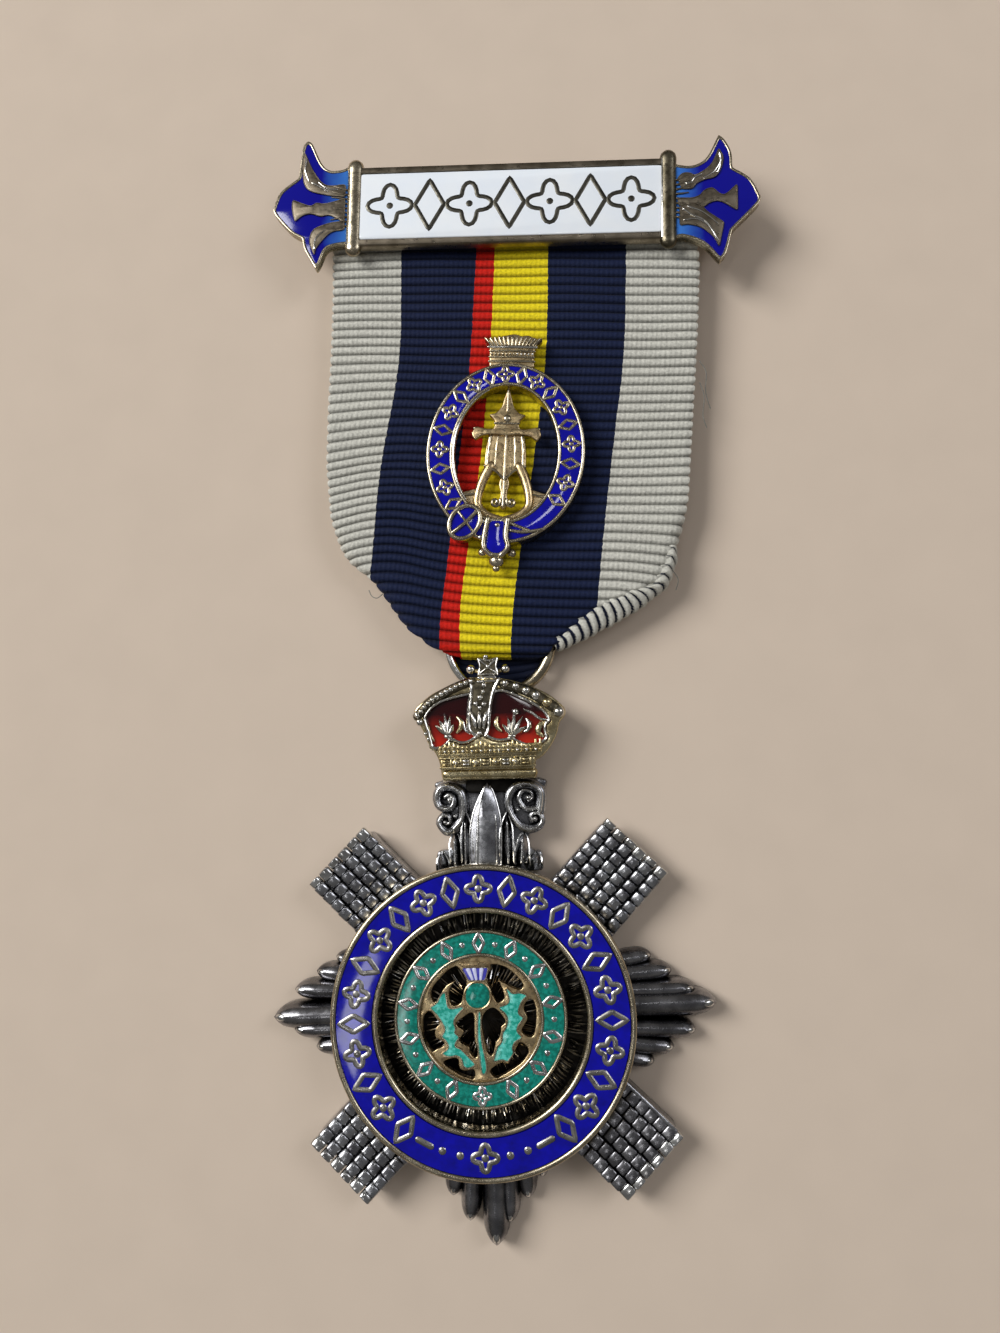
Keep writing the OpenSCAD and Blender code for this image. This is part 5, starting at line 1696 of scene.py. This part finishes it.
    def fold_roll(self) -> None:
        """Adds the rolled fold at the lower right, whose ribs run across it at a slant."""
        inner = open_curve([p[0] for p in self.fold], 8)
        outer = open_curve([p[1] for p in self.fold], 8)
        along = np.concatenate([[0], np.cumsum(np.linalg.norm(np.diff(outer, axis=0), axis=1))])
        rows = int(along[-1] / self.fold_pitch * self.fold_per_rib)
        marks = np.linspace(0, along[-1], rows)
        inner, outer = (
            np.stack([np.interp(marks, along, p[:, k]) for k in (0, 1)], 1) for p in (inner, outer))
        turn = np.linspace(math.pi / 2, -math.pi / 2, 13)
        phase = marks[:, None] / self.fold_pitch + 0.7 * np.sin(turn)[None, :] + 1
        full = np.random.default_rng(21).uniform(0.2, 0.36, int(phase.max()) + 2)[phase.astype(int)]
        fade = np.clip(np.minimum(marks, marks[::-1]), 0, 1)[:, None]
        bump = full * np.sin(math.pi * (phase % 1)) ** 0.7 * fade
        way = outer - inner
        reach = np.cos(turn)[None, :, None]
        out = way / np.maximum(np.linalg.norm(way, axis=1, keepdims=True), 1e-6)
        grid = np.empty((rows, 15, 3))
        grid[:, :13, :2] = inner[:, None] + way[:, None] * reach + out[:, None] * bump[:, :, None] * reach
        grid[:, :13, 2] = self.fold_high + (0.68 + bump) * np.sin(turn)[None, :]
        grid[:, 13, :2], grid[:, 14, :2] = inner - out * 1.6, inner - out * 1.6
        grid[:, 13, 2], grid[:, 14, 2] = self.fold_low, self.fold_high
        uv = np.empty((rows, 15, 2))
        # Navy is painted into the valleys of the twisted roll as painted shade, more so towards the ring
        shaded_share = 0.05 + 0.12 * marks[:, None] / along[-1]
        valley_shade = (phase % 1 < shaded_share) | (phase % 1 > 1 - shaded_share)
        uv[..., 0] = 0.9
        uv[:, :13, 0] -= 0.2 * valley_shade
        uv[:, :13, 1], uv[:, 13:, 1] = phase, phase[:, -1:]
        flat = Shell()
        flat.sheet(grid, uv=uv)
        faces = [*flat.faces, tuple(range(14, -1, -1)), tuple((rows - 1) * 15 + k for k in range(15))]
        self.silk.add(flat.points[0], faces, 0, flat.uvs[0])

    def corners(self) -> None:
        """Adds the two corners folded behind the front, clear of the ring."""
        left = [(-5.6, 34.6), (-5.0, 38.6), (-3.6, 40.1), (-9.5, 44.5), (-13.0, 44.6), (-12.1, 42.3),
                (-9.8, 40.4), (-8.0, 37.5)]
        right = [(8.4, 34.9), (12.3, 36.9), (15.9, 38.6), (17.6, 41.0), (18.4, 44.5), (13.0, 45.6),
                 (6.9, 40.0), (8.0, 37.0)]
        for outline, tone in ((left, 0.1), (right, 0.9)):
            before = self.silk.count
            self.silk.plate(closed_curve(outline, 3), self.fold_low, self.fold_high, 0.15)
            self.silk.uvs[-1] = np.column_stack(
                [np.full(self.silk.count - before, tone), np.full(self.silk.count - before, 0.5)])

    def hollow(self) -> None:
        """Adds the navy ribs of the back, which hang below the front in the ring's shade."""
        for y, left, right in ((29.7, -1.3, 3.8), (30.5, -2.1, 4.9), (31.3, -2.7, 5.5), (32.1, -3.1, 5.9),
                               (32.9, -3.3, 6.2), (33.7, -3.4, 6.4)):
            x = np.linspace(left, right, 16)
            bow = 0.5 * np.linspace(-1, 1, 16) ** 2
            self.silk.tube(np.column_stack([x, y + bow, np.full(16, 0.62)]), 0.48, sides=10)
            # Cloth coordinates at a rib's valley paint these ribs darker: painted shade
            self.silk.uvs[-1] = np.tile((0.3, 0.05), (len(self.silk.uvs[-1]), 1))


# Badge on the ribbon


@dataclass
class BeltBadge:
    """Oval belt of blue enamel: a coronet above, buckle and tail below, a lantern finial in its opening."""

    at: Pair = (3.0, 51.8)
    turn: float = -4.5
    outer: Pair = (7.6, 8.9)
    opening: Pair = (5.0, 6.65)
    # Half sizes of the belt's middle line
    lane: Pair = (6.3, 7.78)
    back: float = 3.38
    top: float = 4.9
    rim: float = 0.36
    metal: Shell = field(default_factory=Shell)
    glass: Shell = field(default_factory=Shell)
    coronet: tuple = (
        (-2.7, 11.6, 1), (-1.9, 11.5), (0.2, 12), (1, 11.8), (1.6, 11.9), (2.4, 11.6), (3.1, 11.6, 1),
        (2.5, 10.8), (2.3, 9.7), (2.4, 8.6, 1), (-2, 8.6, 1), (-2.1, 10.8))
    buckle_at: Pair = (-3.5, -7.0)
    buckle_half: Pair = (1.35, 1.72)
    buckle_turn: float = -38.0
    strap: tuple = (
        (-1.4, -6.5, 1), (-1.6, -8.4), (-1.6, -9.4), (-0.9, -10.2, 1), (0.1, -10.2, 1), (0.8, -9.3),
        (0.5, -8.2), (0.6, -6.5, 1))
    block: tuple = ((0, -2.7, 1), (0.9, -1.75), (2.0, -1.35, 1), (1.95, 0.2), (1.7, 1.9, 1), (0, 1.95))
    crossbar: tuple = (
        (0, 1.75), (1.3, 1.85), (2.3, 1.7), (3.0, 1.2, 1), (3.35, 1.9), (2.9, 2.55), (1.8, 2.4), (0, 2.5))
    cap: tuple = (
        (0, 2.3), (1.35, 2.35, 1), (1.15, 3.1), (1.8, 3.9, 1), (1.1, 4.1), (0.6, 4.7), (0.36, 5.6),
        (0, 6.75, 1))
    leg: tuple = ((1.4, -1.2), (2, -2.5), (2.4, -3.9), (2.4, -5.1), (1.5, -6), (0, -6.5))
    foot: tuple = ((2.2, -3.2, 1), (3, -3.5), (4.4, -3.9, 1), (3.6, -5.3), (2.2, -6.3, 1), (2.3, -5))
    drop: tuple = ((0, -5.5, 1), (0.45, -4.9), (0.3, -3.9), (0.5, -3.0), (0.3, -2.2), (0, -2.1))

    def build(self) -> None:
        """Builds the badge's metal and its enamel."""
        inner, outer = self.on(ellipse(*self.opening, 200)), self.on(ellipse(*self.outer, 200))
        self.metal.lane(inner, outer, channel(self.rim, self.back, self.top - 0.6, self.top))
        self.glass.lane(inner, outer, cushion(self.rim, self.top - 0.58, self.top - 0.12, 0.06))
        # The inner rim's left side gets a bright silver wire: painted highlight on the side that faces the
        # light
        bright = self.on([(self.opening[0] * math.cos(a), self.opening[1] * math.sin(a))
                          for a in np.radians(np.linspace(112, 225, 60))])
        self.metal.wire(bright, self.top - 0.16, 0.2 * np.sin(np.linspace(0.15, 3.0, 60)) ** 0.5, slot=1)
        self.studs()
        self.crest()
        self.finial()
        self.buckle()
        self.metal.build("badge_metal", [GILT, BRIGHT_SILVER_AND_GLINT, BRONZED], ["badge_frame"], crease=45)
        self.glass.build("badge_glass", [BLUE], ["badge_enamel"])

    def on(self, points: Sequence, mirror: bool = False) -> Array:
        """Points of the badge's own frame in the object's frame."""
        return placed(points, self.at, self.turn, mirror)

    def spot(self, x: float, y: float, z: float) -> tuple[float, float, float]:
        """One place of the badge's own frame in the object's frame, at this height."""
        return (*self.on([(x, y)])[0], z)

    def studs(self) -> None:
        """Small wire shapes along the belt."""
        inlay = Inlay(1.75, 0.3)
        for k, angle in enumerate(np.linspace(-36, 222, 19)):
            a = math.radians(angle)
            local = (self.lane[0] * math.cos(a), self.lane[1] * math.sin(a))
            facing = math.degrees(math.atan2(math.sin(a) / self.lane[1], math.cos(a) / self.lane[0]))
            kind = (Motif.LOZENGE, Motif.QUATREFOIL)[k % 2]
            inlay.lay(self.metal, kind, tuple(self.on([local])[0]), facing - 90 + self.turn, self.top - 0.06)

    def crest(self) -> None:
        """Coronet with its rows of beads and its fluted top."""
        self.metal.plate(self.on(closed_curve(self.coronet)), self.back, self.top - 0.35, 0.15, slot=2)
        z = self.top - 0.33
        for y, left, right, r, slot in ((9.15, -2.0, 2.35, 0.12, 0), (9.6, -2.0, 2.3, 0.1, 0),
                                        (10.2, -2.0, 2.35, 0.1, 0), (10.6, -2.15, 2.5, 0.14, 1)):
            self.metal.wire(self.on([(left, y), (0.2, y + 0.05), (right, y)]), z, r, slot=slot)
        for x in np.linspace(-1.8, 2.15, 12):
            self.metal.pebble(self.spot(x, 9.9, z), (0.13, 0.16, 0.16), self.turn, slot=int(x > 0.4))
        for x in np.linspace(-2.3, 2.6, 13):
            foot = (x * 0.84 + 0.03, 10.8)
            self.metal.wire(self.on([foot, (x * 1.04, 11.5 + 0.14 * math.cos(x))]), z, [0.12, 0.15])

    def finial(self) -> None:
        """Lantern finial: pointed cap, curled crossbar, ridged block, and two legs round a hanging drop."""
        z = self.top - 0.75
        for outline, low, high in ((self.block, z - 0.4, z + 0.15), (self.crossbar, z - 0.1, z + 0.42),
                                   (self.cap, z - 0.4, z + 0.25), (self.drop, z - 0.5, z + 0.1)):
            self.metal.plate(self.on(smoothed(both_sides(outline))), low, high, 0.13, slot=2)
        for ends, r in ((((0, -2.6), (0, 1.8)), 0.17), (((0, 4.2), (0, 6.3)), 0.14),
                        (((0, -5.2), (0, -2.4)), 0.16), (((-1.15, 3.0), (1.15, 3.0)), 0.14)):
            path = resampled(self.on(ends), 8)
            self.metal.wire(path, z + 0.24, np.linspace(r, r * 0.8, 8))
        self.metal.pebble(self.spot(0, 3.45, z + 0.28), (0.42, 0.42, 0.25))
        for mirror in (False, True):
            leg = spaced(open_curve(self.leg, 8), 0.2)
            t = np.linspace(0, 1, len(leg))
            self.metal.wire(self.on(leg, mirror), z, 0.5 - 0.14 * t, sides=12, flat=0.75, slot=2)
            self.metal.plate(
                anticlockwise(self.on(smoothed(self.foot), mirror)), z - 0.55, z - 0.02, 0.12, slot=2)
            for path, r in ((((2.4, -3.6), (3.0, -4.0), (4.1, -4.1)), 0.14),
                            (((2.4, -5.2), (3.0, -5.2), (3.5, -5.3)), 0.12),
                            (((1.72, -1.2), (1.66, 0.4), (1.5, 1.7)), 0.16),
                            (((1.9, -1.25), (0.9, -1.7), (0.1, -2.5)), 0.14),
                            (((0.95, -1.2), (0.9, 0.4), (0.8, 1.7)), 0.1)):
                line = self.on(open_curve(path, 5), mirror)
                self.metal.wire(line, z + (0.15 if path[0][1] > -2 else -0.02), r)
            for eye, start, r0 in (((2.85, 2.05), 60, 0.5), ((0.75, -4.75), 150, 0.5)):
                curl = spaced(spiral(eye, start, 1.2, r0, 0.12), 0.14)
                self.metal.wire(self.on(curl, mirror), z + 0.1, 0.16)

    def buckle(self) -> None:
        """Oval buckle, the strap end that hangs through it, and the strap's fold on the right."""
        at, z = self.on([self.buckle_at])[0], self.top
        ring = placed(ellipse(*self.buckle_half, 40), at, self.buckle_turn)
        self.metal.plate(grown(ring, 0.1), self.back, z + 0.02, 0.1)
        self.glass.plate(grown(ring, -0.2), z - 0.1, z + 0.1, 0.05)
        self.metal.wire(ring, z + 0.1, 0.24, sides=10, closed=True)
        for bar, r in ((((-0.35, -1.6), (0.1, 0), (0.35, 1.6)), 0.2),
                       (((-1.2, 0.5), (-0.2, 0.2), (1.2, -0.3)), 0.13)):
            self.metal.wire(placed(bar, at, self.buckle_turn), z + 0.14, r)
        for x, y in ((-1.75, -6.85), (-1.95, -8.4)):
            self.metal.pebble(self.spot(x, y, z), (0.24, 0.24, 0.16), slot=1)
        strap = anticlockwise(self.on(smoothed(self.strap)))
        self.metal.plate(strap, self.back, z + 0.05, 0.1)
        self.glass.plate(grown(strap, -0.3), z, z + 0.14, 0.06)
        for points, r in ((((-1.3, -6.6), (-1.55, -8.2), (-1.55, -9.4), (-0.85, -10.1)), 0.26),
                          (((0.6, -6.6), (0.46, -8.2), (0.7, -9.3), (0.1, -10.1)), 0.28)):
            path = spaced(open_curve(points, 5), 0.2)
            self.metal.wire(self.on(path), z + 0.1, r, sides=10)
        self.metal.pebble(self.spot(-0.4, -7.2, z + 0.16), (0.22, 0.22, 0.1))
        for x, y, r in ((-1.7, -9.75, 0.42), (1.05, -9.75, 0.42), (-0.35, -10.55, 0.72),
                        (-0.35, -11.25, 0.36)):
            self.metal.pebble(self.spot(x, y, z - 0.45), (r, r, r * 0.8), rows=12, columns=18)
        for points in (((0.9, -7.65), (2.2, -7.75), (3.95, -7.45)), ((0.7, -6.9), (1.6, -7.25), (2.6, -7.6))):
            self.metal.wire(self.on(open_curve(points)), z + 0.02, 0.15, flat=0.6)


# Bar


@dataclass
class BroochBar:
    """Bar with a white enamel field between two collars, and a blue enamel fleur-de-lis at each end."""

    at: Pair = BAR_CENTRE
    turn: float = BAR_TURN
    span: float = 31.0
    plaque: Pair = (15.2, 3.53)
    half_height: float = 4.3
    top: float = 5.0
    back: float = 3.4
    collar: float = 0.83
    collar_half: float = 4.3
    fleur_top: float = 4.75
    rail_reach: float = 18.9
    rail_y: float = -1.2
    rail_z: float = 1.65
    metal: Shell = field(default_factory=Shell)
    fleur_right: tuple = (
        (15.2, 3.4), (16.6, 3.5), (17.6, 3.4), (18.6, 3.7), (19.4, 4.5), (20.4, 6.6, 1), (21, 6), (21.6, 4.7),
        (21.7, 3.1, 1), (23.4, 1.9), (24.4, -0.1, 1), (24, -0.9), (21.6, -3.4, 1), (21, -5.7),
        (20.4, -6.5, 1), (18.8, -4.7), (16.8, -3.9), (15.2, -3.9))
    fleur_left: tuple = (
        (-15.2, 4), (-17, 4.1), (-18.1, 4.1), (-19, 4.9), (-20, 7), (-20.5, 7.4, 1), (-21, 6.6),
        (-21.3, 3.4, 1), (-23.1, 1.9), (-23.8, 0.1, 1), (-23.5, -0.6), (-21.9, -2.4), (-20.7, -3.1, 1),
        (-20.4, -4.3), (-19.2, -6.4, 1), (-18.8, -5.7), (-18.3, -4.4), (-17.6, -4), (-16.3, -3.8),
        (-15.2, -3.8))
    leaves_right: tuple = (
        ((20.4, 5.1, 1), (19.6, 3.4), (18.2, 2.4), (17.6, 2.6), (16.9, 2.6), (16.4, 2.1, 1), (16.8, 1, 1),
         (17.8, 1), (18.2, 1.5), (19, 1.9), (20.2, 2.3), (20.8, 4)),
        ((16.4, 0, 1), (17.8, 0), (18.6, 0.3), (18.9, 0.7), (19.7, 1), (20.4, 0.4), (21, 0.3), (22.1, 1.3, 1),
         (22.1, -1.4, 1), (20.5, -0.4), (19.5, -0.5), (18.7, -1), (17.6, -0.6), (16.5, -0.8, 1)),
        ((16.6, -0.9, 1), (17.6, -0.5), (18.6, -0.8), (19.3, -1.5), (20.8, -2.6, 1), (20.3, -5.1, 1),
         (19.9, -4.2), (18.7, -3.1), (17.4, -2.7), (16.6, -2.8, 1)))
    leaves_left: tuple = (
        ((-20.8, 6.1, 1), (-20.9, 4.1), (-20.4, 2.2), (-18.5, 1.5), (-16.5, 1.2, 1), (-16.5, 2.5, 1),
         (-18.5, 2.5), (-19.8, 4)),
        ((-21.8, 1, 1), (-20, 0.3), (-19.4, 0.6), (-18.4, 0.5), (-16.5, 1, 1), (-16.5, -1.5, 1), (-18, -0.7),
         (-18.9, -0.8), (-19.9, -0.5), (-20.8, -0.7), (-21.5, -1.3, 1), (-21.8, 0)),
        ((-19.4, -4.9, 1), (-19.8, -3.9), (-19.9, -3.2), (-19.5, -2.2), (-18, -1.6), (-16.5, -1.4, 1),
         (-16.5, -2.3, 1), (-17.9, -2.6), (-19.2, -4.1)))
    veins_right: tuple = (
        ((18.67, 2.45), (18.0, 2.06), (17.7, 1.65), (17.03, 1.25)),
        ((20.43, 4.71), (20.52, 3.76), (19.93, 2.73), (18.96, 2.03)), ((17.22, 1.56), (17.9, 1.6)),
        ((16.91, -1.14), (17.77, -1.79), (18.92, -2.35), (19.86, -3.61)),
        ((17.0, -2.3), (18.2, -2.2), (19.3, -2.9), (20.2, -4.4)), ((17.4, -0.9), (18.8, -1.5), (20.2, -2.7)),
        ((20.2, 2.6), (20.5, 3.4), (20.5, 4.5)))
    veins_left: tuple = (
        ((-19.85, 2.76), (-19.07, 2.34), (-18.29, 1.81)), ((-20.53, 5.31), (-20.62, 4.1), (-20.24, 2.98)),
        ((-19.4, -4.3), (-19.3, -3.2), (-18.4, -2.3)), ((-17.3, 2.0), (-18.3, 2.1), (-19.2, 2.8)))

    def build(self) -> None:
        """Builds the bar's metal and its three enamel fields."""
        self.body()
        self.collars()
        self.ends()
        self.rail()
        self.metal.build("bar_metal", [GILT, DULL_GILT, BRIGHT_SILVER_AND_GLINT, SMOKED_AND_SHADED], ["bar_frame"], crease=40)
        plaque = Shell()
        plaque.plate(self.on(rounded_box(self.plaque[0] - 0.05, self.plaque[1] - 0.05, 0.5)), self.top - 0.5,
                     self.top - 0.08, 0.14)
        plaque.build("bar_white_glass", [WHITE], ["bar_enamel"])
        self.motifs().build("bar_motifs", [ENGRAVED], ["bar_frame"])

    def on(self, points: Sequence) -> Array:
        """Points of the bar's own frame in the object's frame."""
        return placed(points, self.at, self.turn)

    def body(self) -> None:
        """Hollow cap with rounded long edges round the white field."""
        outer = rounded_box(self.span / 2, self.half_height, 0.3, 8)
        inner = rounded_box(*self.plaque, 0.3, 8)
        z = self.top
        profile = [(1, -0.25, 3.95), (1, 0, 4.15), (1, 0, z - 0.42), (1, -0.1, z - 0.2), (1, -0.2, z - 0.05),
                   (1, -0.26, z), (0, 0.04, z), (0, 0.01, z - 0.03), (0, 0, z - 0.1), (0, 0, z - 0.55),
                   (0, -1.5, z - 0.55), (0, -1.5, z - 0.75), (1, -0.8, z - 0.75), (1, -0.8, 3.95)]
        self.metal.lane(self.on(inner), self.on(outer), profile, slot=1)
        self.metal.plate(self.on(rounded_box(self.span / 2 - 0.3, 3.5, 0.3)), self.back, 4.45, 0.1)

    def collars(self) -> None:
        """Upright collar across each end, a little swollen at its round ends, with painted glints at its
        ends.
        """
        for x in (-self.span / 2, self.span / 2):
            path = np.array([(x, y) for y in np.linspace(-self.collar_half, self.collar_half, 24)])
            end = np.abs(np.linspace(-1, 1, 24)) ** 8
            # The right collar has the darker gilt: painted shade
            self.metal.wire(self.on(path), self.top - 0.38, self.collar * (0.94 + 0.06 * end), sides=24,
                            flat=0.68, slot=3 * int(x > 0))
            # Painted highlight: a bright line along the right collar's left edge
            if x > 0:
                self.metal.wire(
                    self.on([(x - 0.62, y) for y in (-4.1, 0, 4.1)]), self.top - 0.03, 0.08, slot=2)
            # Painted glints at both round ends
            for y in (-self.collar_half - 0.3, self.collar_half + 0.3):
                glint = self.on([(x - 0.45, y * 0.97), (x - 0.1, y)])
                self.metal.wire(glint, self.top - 0.08, 0.09, slot=2)

    def motifs(self) -> Shell:
        """Row of plain dark shapes along the white field.

        Returns:
            The shell that holds them.
        """
        shell = Shell()
        inlay = Inlay(5.2, 0.5, flat=0.3)
        row = (Motif.QUATREFOIL, Motif.LOZENGE) * 3 + (Motif.QUATREFOIL,)
        for kind, x in zip(row, np.linspace(-11.9, 11.9, 7)):
            inlay.lay(shell, kind, tuple(self.on([(x, 0)])[0]), self.turn, self.top - 0.1)
        return shell

    def ends(self) -> None:
        """Fleur-de-lis ends: raised rim, blue field, dull gilt leaves and bright rubbed veins."""
        z = self.fleur_top
        for outline, leaves, veins, side in ((self.fleur_right, self.leaves_right, self.veins_right, "right"),
                                             (self.fleur_left, self.leaves_left, self.veins_left, "left")):
            loop = self.on(closed_curve(outline, 6))
            well = grown(loop, -0.28)
            self.metal.plate(loop, 3.75, z - 0.42, 0.08)
            self.metal.plate(loop, 4.0, z, 0.09, [well])
            glass = Shell()
            glass.plate(grown(loop, -0.25), z - 0.42, z - 0.08, 0.05)
            glass.build(f"fleur_glass_{side}", [FLEUR_BLUE], [f"fleur_enamel_{side}"])
            for shape in leaves:
                leaf = anticlockwise(self.on(smoothed(shape, 5)))
                self.metal.plate(leaf, z - 0.3, z + 0.02, 0.07, slot=1)
                self.metal.wire(eased(leaf, 0.16), z + 0.01, 0.055, sides=6, closed=True, slot=1)
            for vein in veins:
                path = self.on(open_curve(vein, 5))
                self.metal.wire(path, z + 0.03, np.linspace(0.1, 0.06, len(path)), slot=2)
            rng = np.random.default_rng(9)
            sign = 1 if side == "right" else -1
            for y in np.linspace(-2.4, 2.4, 9):
                ray = [(sign * 16.35, y * 0.8), (sign * (16.9 + 0.3 * rng.random()), y * 0.9),
                       (sign * (17.4 + 0.5 * rng.random()), y)]
                self.metal.wire(self.on(ray), z - 0.02, [0.11, 0.08, 0.05], slot=1)

    def rail(self) -> None:
        """Wire rail behind the bar that carries the ribbon, on two posts."""
        reach, y, z = self.rail_reach, self.rail_y, self.rail_z
        self.metal.wire(self.on([(-reach, y), (0, y), (reach, y)]), z, 0.45, sides=14)
        for x in (-reach, reach):
            post = self.on([(x, y)])[0]
            self.metal.tube(np.array([(*post, z), (*post, 2.8), (*post, 4.1)]), [0.45, 0.42, 0.5], sides=12)


@dataclass
class BroochPin:
    """Hidden fastening behind the bar: hinge barrel, sprung wire pin and hooked catch."""

    line: float = 2.3
    half: float = 13.0

    def on(self, points: Sequence) -> Array:
        """Points of the pin's own line in the object's frame."""
        return placed(np.array(points, float) + (0, self.line), BAR_CENTRE, BAR_TURN)

    def build(self) -> None:
        """Builds the pin in one piece."""
        shell = Shell()
        for side in (-1, 1):
            shell.plate(self.on(placed(rounded_box(1.4, 1.1, 0.3), (side * self.half, 0))), 2.7, 3.3, 0.1)
        for y in (-0.75, 0.75):
            shell.wire(self.on([(-self.half, y - 0.28), (-self.half, y + 0.28)]), 1.5, 0.75, sides=16)
            at = self.on([(-self.half, y)])[0]
            shell.tube(np.array([(*at, 1.9), (*at, 2.9)]), 0.4, sides=10)
        reach = self.half
        spine = np.array([(-reach, 0, 1.5), (2 - reach, 0, 1.25), (0, 0, 1.15), (reach, 0, 1.2),
                          (reach + 2, 0, 1.2), (reach + 3.2, 0, 1.2)])
        shell.tube(np.column_stack([self.on(spine[:, :2]), spine[:, 2]]), [0.45, 0.4, 0.4, 0.38, 0.3, 0.08],
                   sides=12)
        a = np.radians(np.linspace(-250, 70, 16))
        for x in (-0.35, 0.0, 0.35):
            flat = self.on([(self.half + x, 0.75 * math.cos(turn)) for turn in a])
            shell.tube(np.column_stack([flat, 1.25 + 0.75 * np.sin(a)]), 0.22, sides=8)
        at = self.on([(self.half, 0)])[0]
        shell.tube(np.array([(*at, 1.9), (*at, 3.0)]), 0.5, sides=12)
        shell.build("brooch_fastening", [GILT], ["brooch_pin"])


# Studio


@dataclass
class Studio:
    """Camera at the photograph's place, a pale board under the jewel, and soft window light from the left."""

    eye: tuple[float, float, float] = (8.39549, 19.25772, 96.57741)
    tilt: float = -7.41848
    pan: float = -4.05354
    roll: float = 1.71875
    focal_share: float = 1001 / 1333
    sensor: float = 24.0
    target: tuple[float, float, float] = (0.004, 0.03, 0.0)

    def build(self) -> None:
        """Builds the camera, the board, the lights and the room's glow."""
        self.camera()
        self.board()
        self.lamp("window", (-720, 430, 740), (0.45, 0.6), 10.3, "#FFFFFF")
        self.lamp("second_window", (420, 240, 450), (0.22, 0.28), 0.75, "#F6F8FF")
        self.lamp("ring_glint", (-98, -77, 371), (0.03, 0.06), 0.03, "#FFFFFF")
        self.lamp("belt_glint", (7, 148, 371), (0.03, 0.024), 0.02, "#FFFFFF")
        self.room()
        bpy.context.scene.view_settings.view_transform = "Standard"

    def camera(self) -> None:
        """Camera at the height and angle from which the photograph was taken."""
        data = bpy.data.cameras.new("camera")
        data.sensor_fit, data.sensor_height = "VERTICAL", self.sensor
        data.lens = self.sensor * self.focal_share
        data.clip_start = 0.001
        camera = bpy.data.objects.new("camera", data)
        to_camera = (Matrix.Rotation(math.radians(self.roll), 4, "Z")
                     @ Matrix.Rotation(math.radians(self.tilt), 4, "X")
                     @ Matrix.Rotation(math.radians(self.pan), 4, "Y"))
        camera.matrix_world = Matrix.Translation([v * MM for v in self.eye]) @ to_camera.transposed()
        bpy.context.scene.collection.objects.link(camera)
        bpy.context.scene.camera = camera

    def board(self) -> None:
        """Pale board that the jewel lies on."""
        mesh = bpy.data.meshes.new("board")
        r = 1.5
        mesh.from_pydata([(-r, -r, 0), (r, -r, 0), (r, r, 0), (-r, r, 0)], [], [(0, 1, 2, 3)])
        mesh.materials.append(BOARD.material())
        board = bpy.data.objects.new("board", mesh)
        board.location.z = -0.02 * MM
        bpy.context.scene.collection.objects.link(board)

    def lamp(self, name: str, at: tuple, size: Pair, power: float, colour: str) -> None:
        """Soft light aimed at the jewel.

        Args:
            name: Its name.
            at: Its place in millimetres.
            size: Its width and height in metres.
            power: Its power in watts.
            colour: Its colour.
        """
        data = bpy.data.lights.new(name, "AREA")
        data.shape, (data.size, data.size_y), data.energy = "RECTANGLE", size, power
        data.color = linear(colour)[:3]
        lamp = bpy.data.objects.new(name, data)
        place = Vector([v * MM for v in at])
        aim = place - Vector(self.target)
        lamp.matrix_world = Matrix.Translation(place) @ aim.to_track_quat("Z", "Y").to_matrix().to_4x4()
        bpy.context.scene.collection.objects.link(lamp)

    @staticmethod
    def room() -> None:
        """Soft glow of the room: light walls under a darker ceiling, which the metal mirrors."""
        world = bpy.data.worlds.new("room")
        bpy.context.scene.world = world
        world.use_nodes = True
        graph = Graph(world.node_tree)
        way = graph.node("TexCoord").outputs["Generated"]
        ramp = graph.node("ValToRGB", {"Fac": graph.node("SeparateXYZ", {"Vector": way}).outputs["Z"]})
        shades = ramp.color_ramp.elements
        shades[0].color, shades[1].color = linear("#5A5650"), linear("#909092")
        shades.new(0.5).color = linear("#A09E9A")
        graph.fill(graph.tree.nodes["Background"], {"Color": ramp.outputs["Color"], "Strength": 0.5})


def main() -> None:
    """Builds the jewel from the star up to the bar, then the studio."""
    logging.basicConfig(level=logging.INFO, format="%(message)s")
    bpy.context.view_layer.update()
    blue = EnamelledRing(
        "blue_ring", at=(-0.67, -0.42), outer=13.7, opening=9.35, back=3.1, bed=4.3, top=5.0, rim=0.58,
        enamel=BLUE, inlay=Inlay(2.6, 0.46), motifs=(Motif.LOZENGE, Motif.QUATREFOIL) * 11 + (Motif.LOZENGE,),
        first=232, last=-52, wire=WIRE,
        bottom=((Motif.BAR, 242.5), (Motif.PELLET, 251), (Motif.PELLET, 259), (Motif.QUATREFOIL, 270),
                (Motif.PELLET, 281), (Motif.PELLET, 289), (Motif.BAR, 297.5)))
    green = EnamelledRing(
        "medallion", at=MEDALLION_AT, outer=7.8, opening=5.4, back=3.1, bed=3.9, top=4.4, rim=0.33,
        enamel=GREEN, inlay=Inlay(1.7, 0.34), motifs=(Motif.LOZENGE, Motif.PELLET) * 12 + (Motif.LOZENGE,),
        first=246, last=-66, wire=RUBBED_AND_HIGHLIGHT, bottom=((Motif.QUATREFOIL, 270),))
    for part in (StarCasting(), blue, green, Thistle(), Crown(), JumpRing(), Ribbon(), BeltBadge(),
                 BroochBar(), BroochPin(), Studio()):
        LOG.info("building %s", type(part).__name__)
        part.build()


if __name__ == "__main__":
    main()
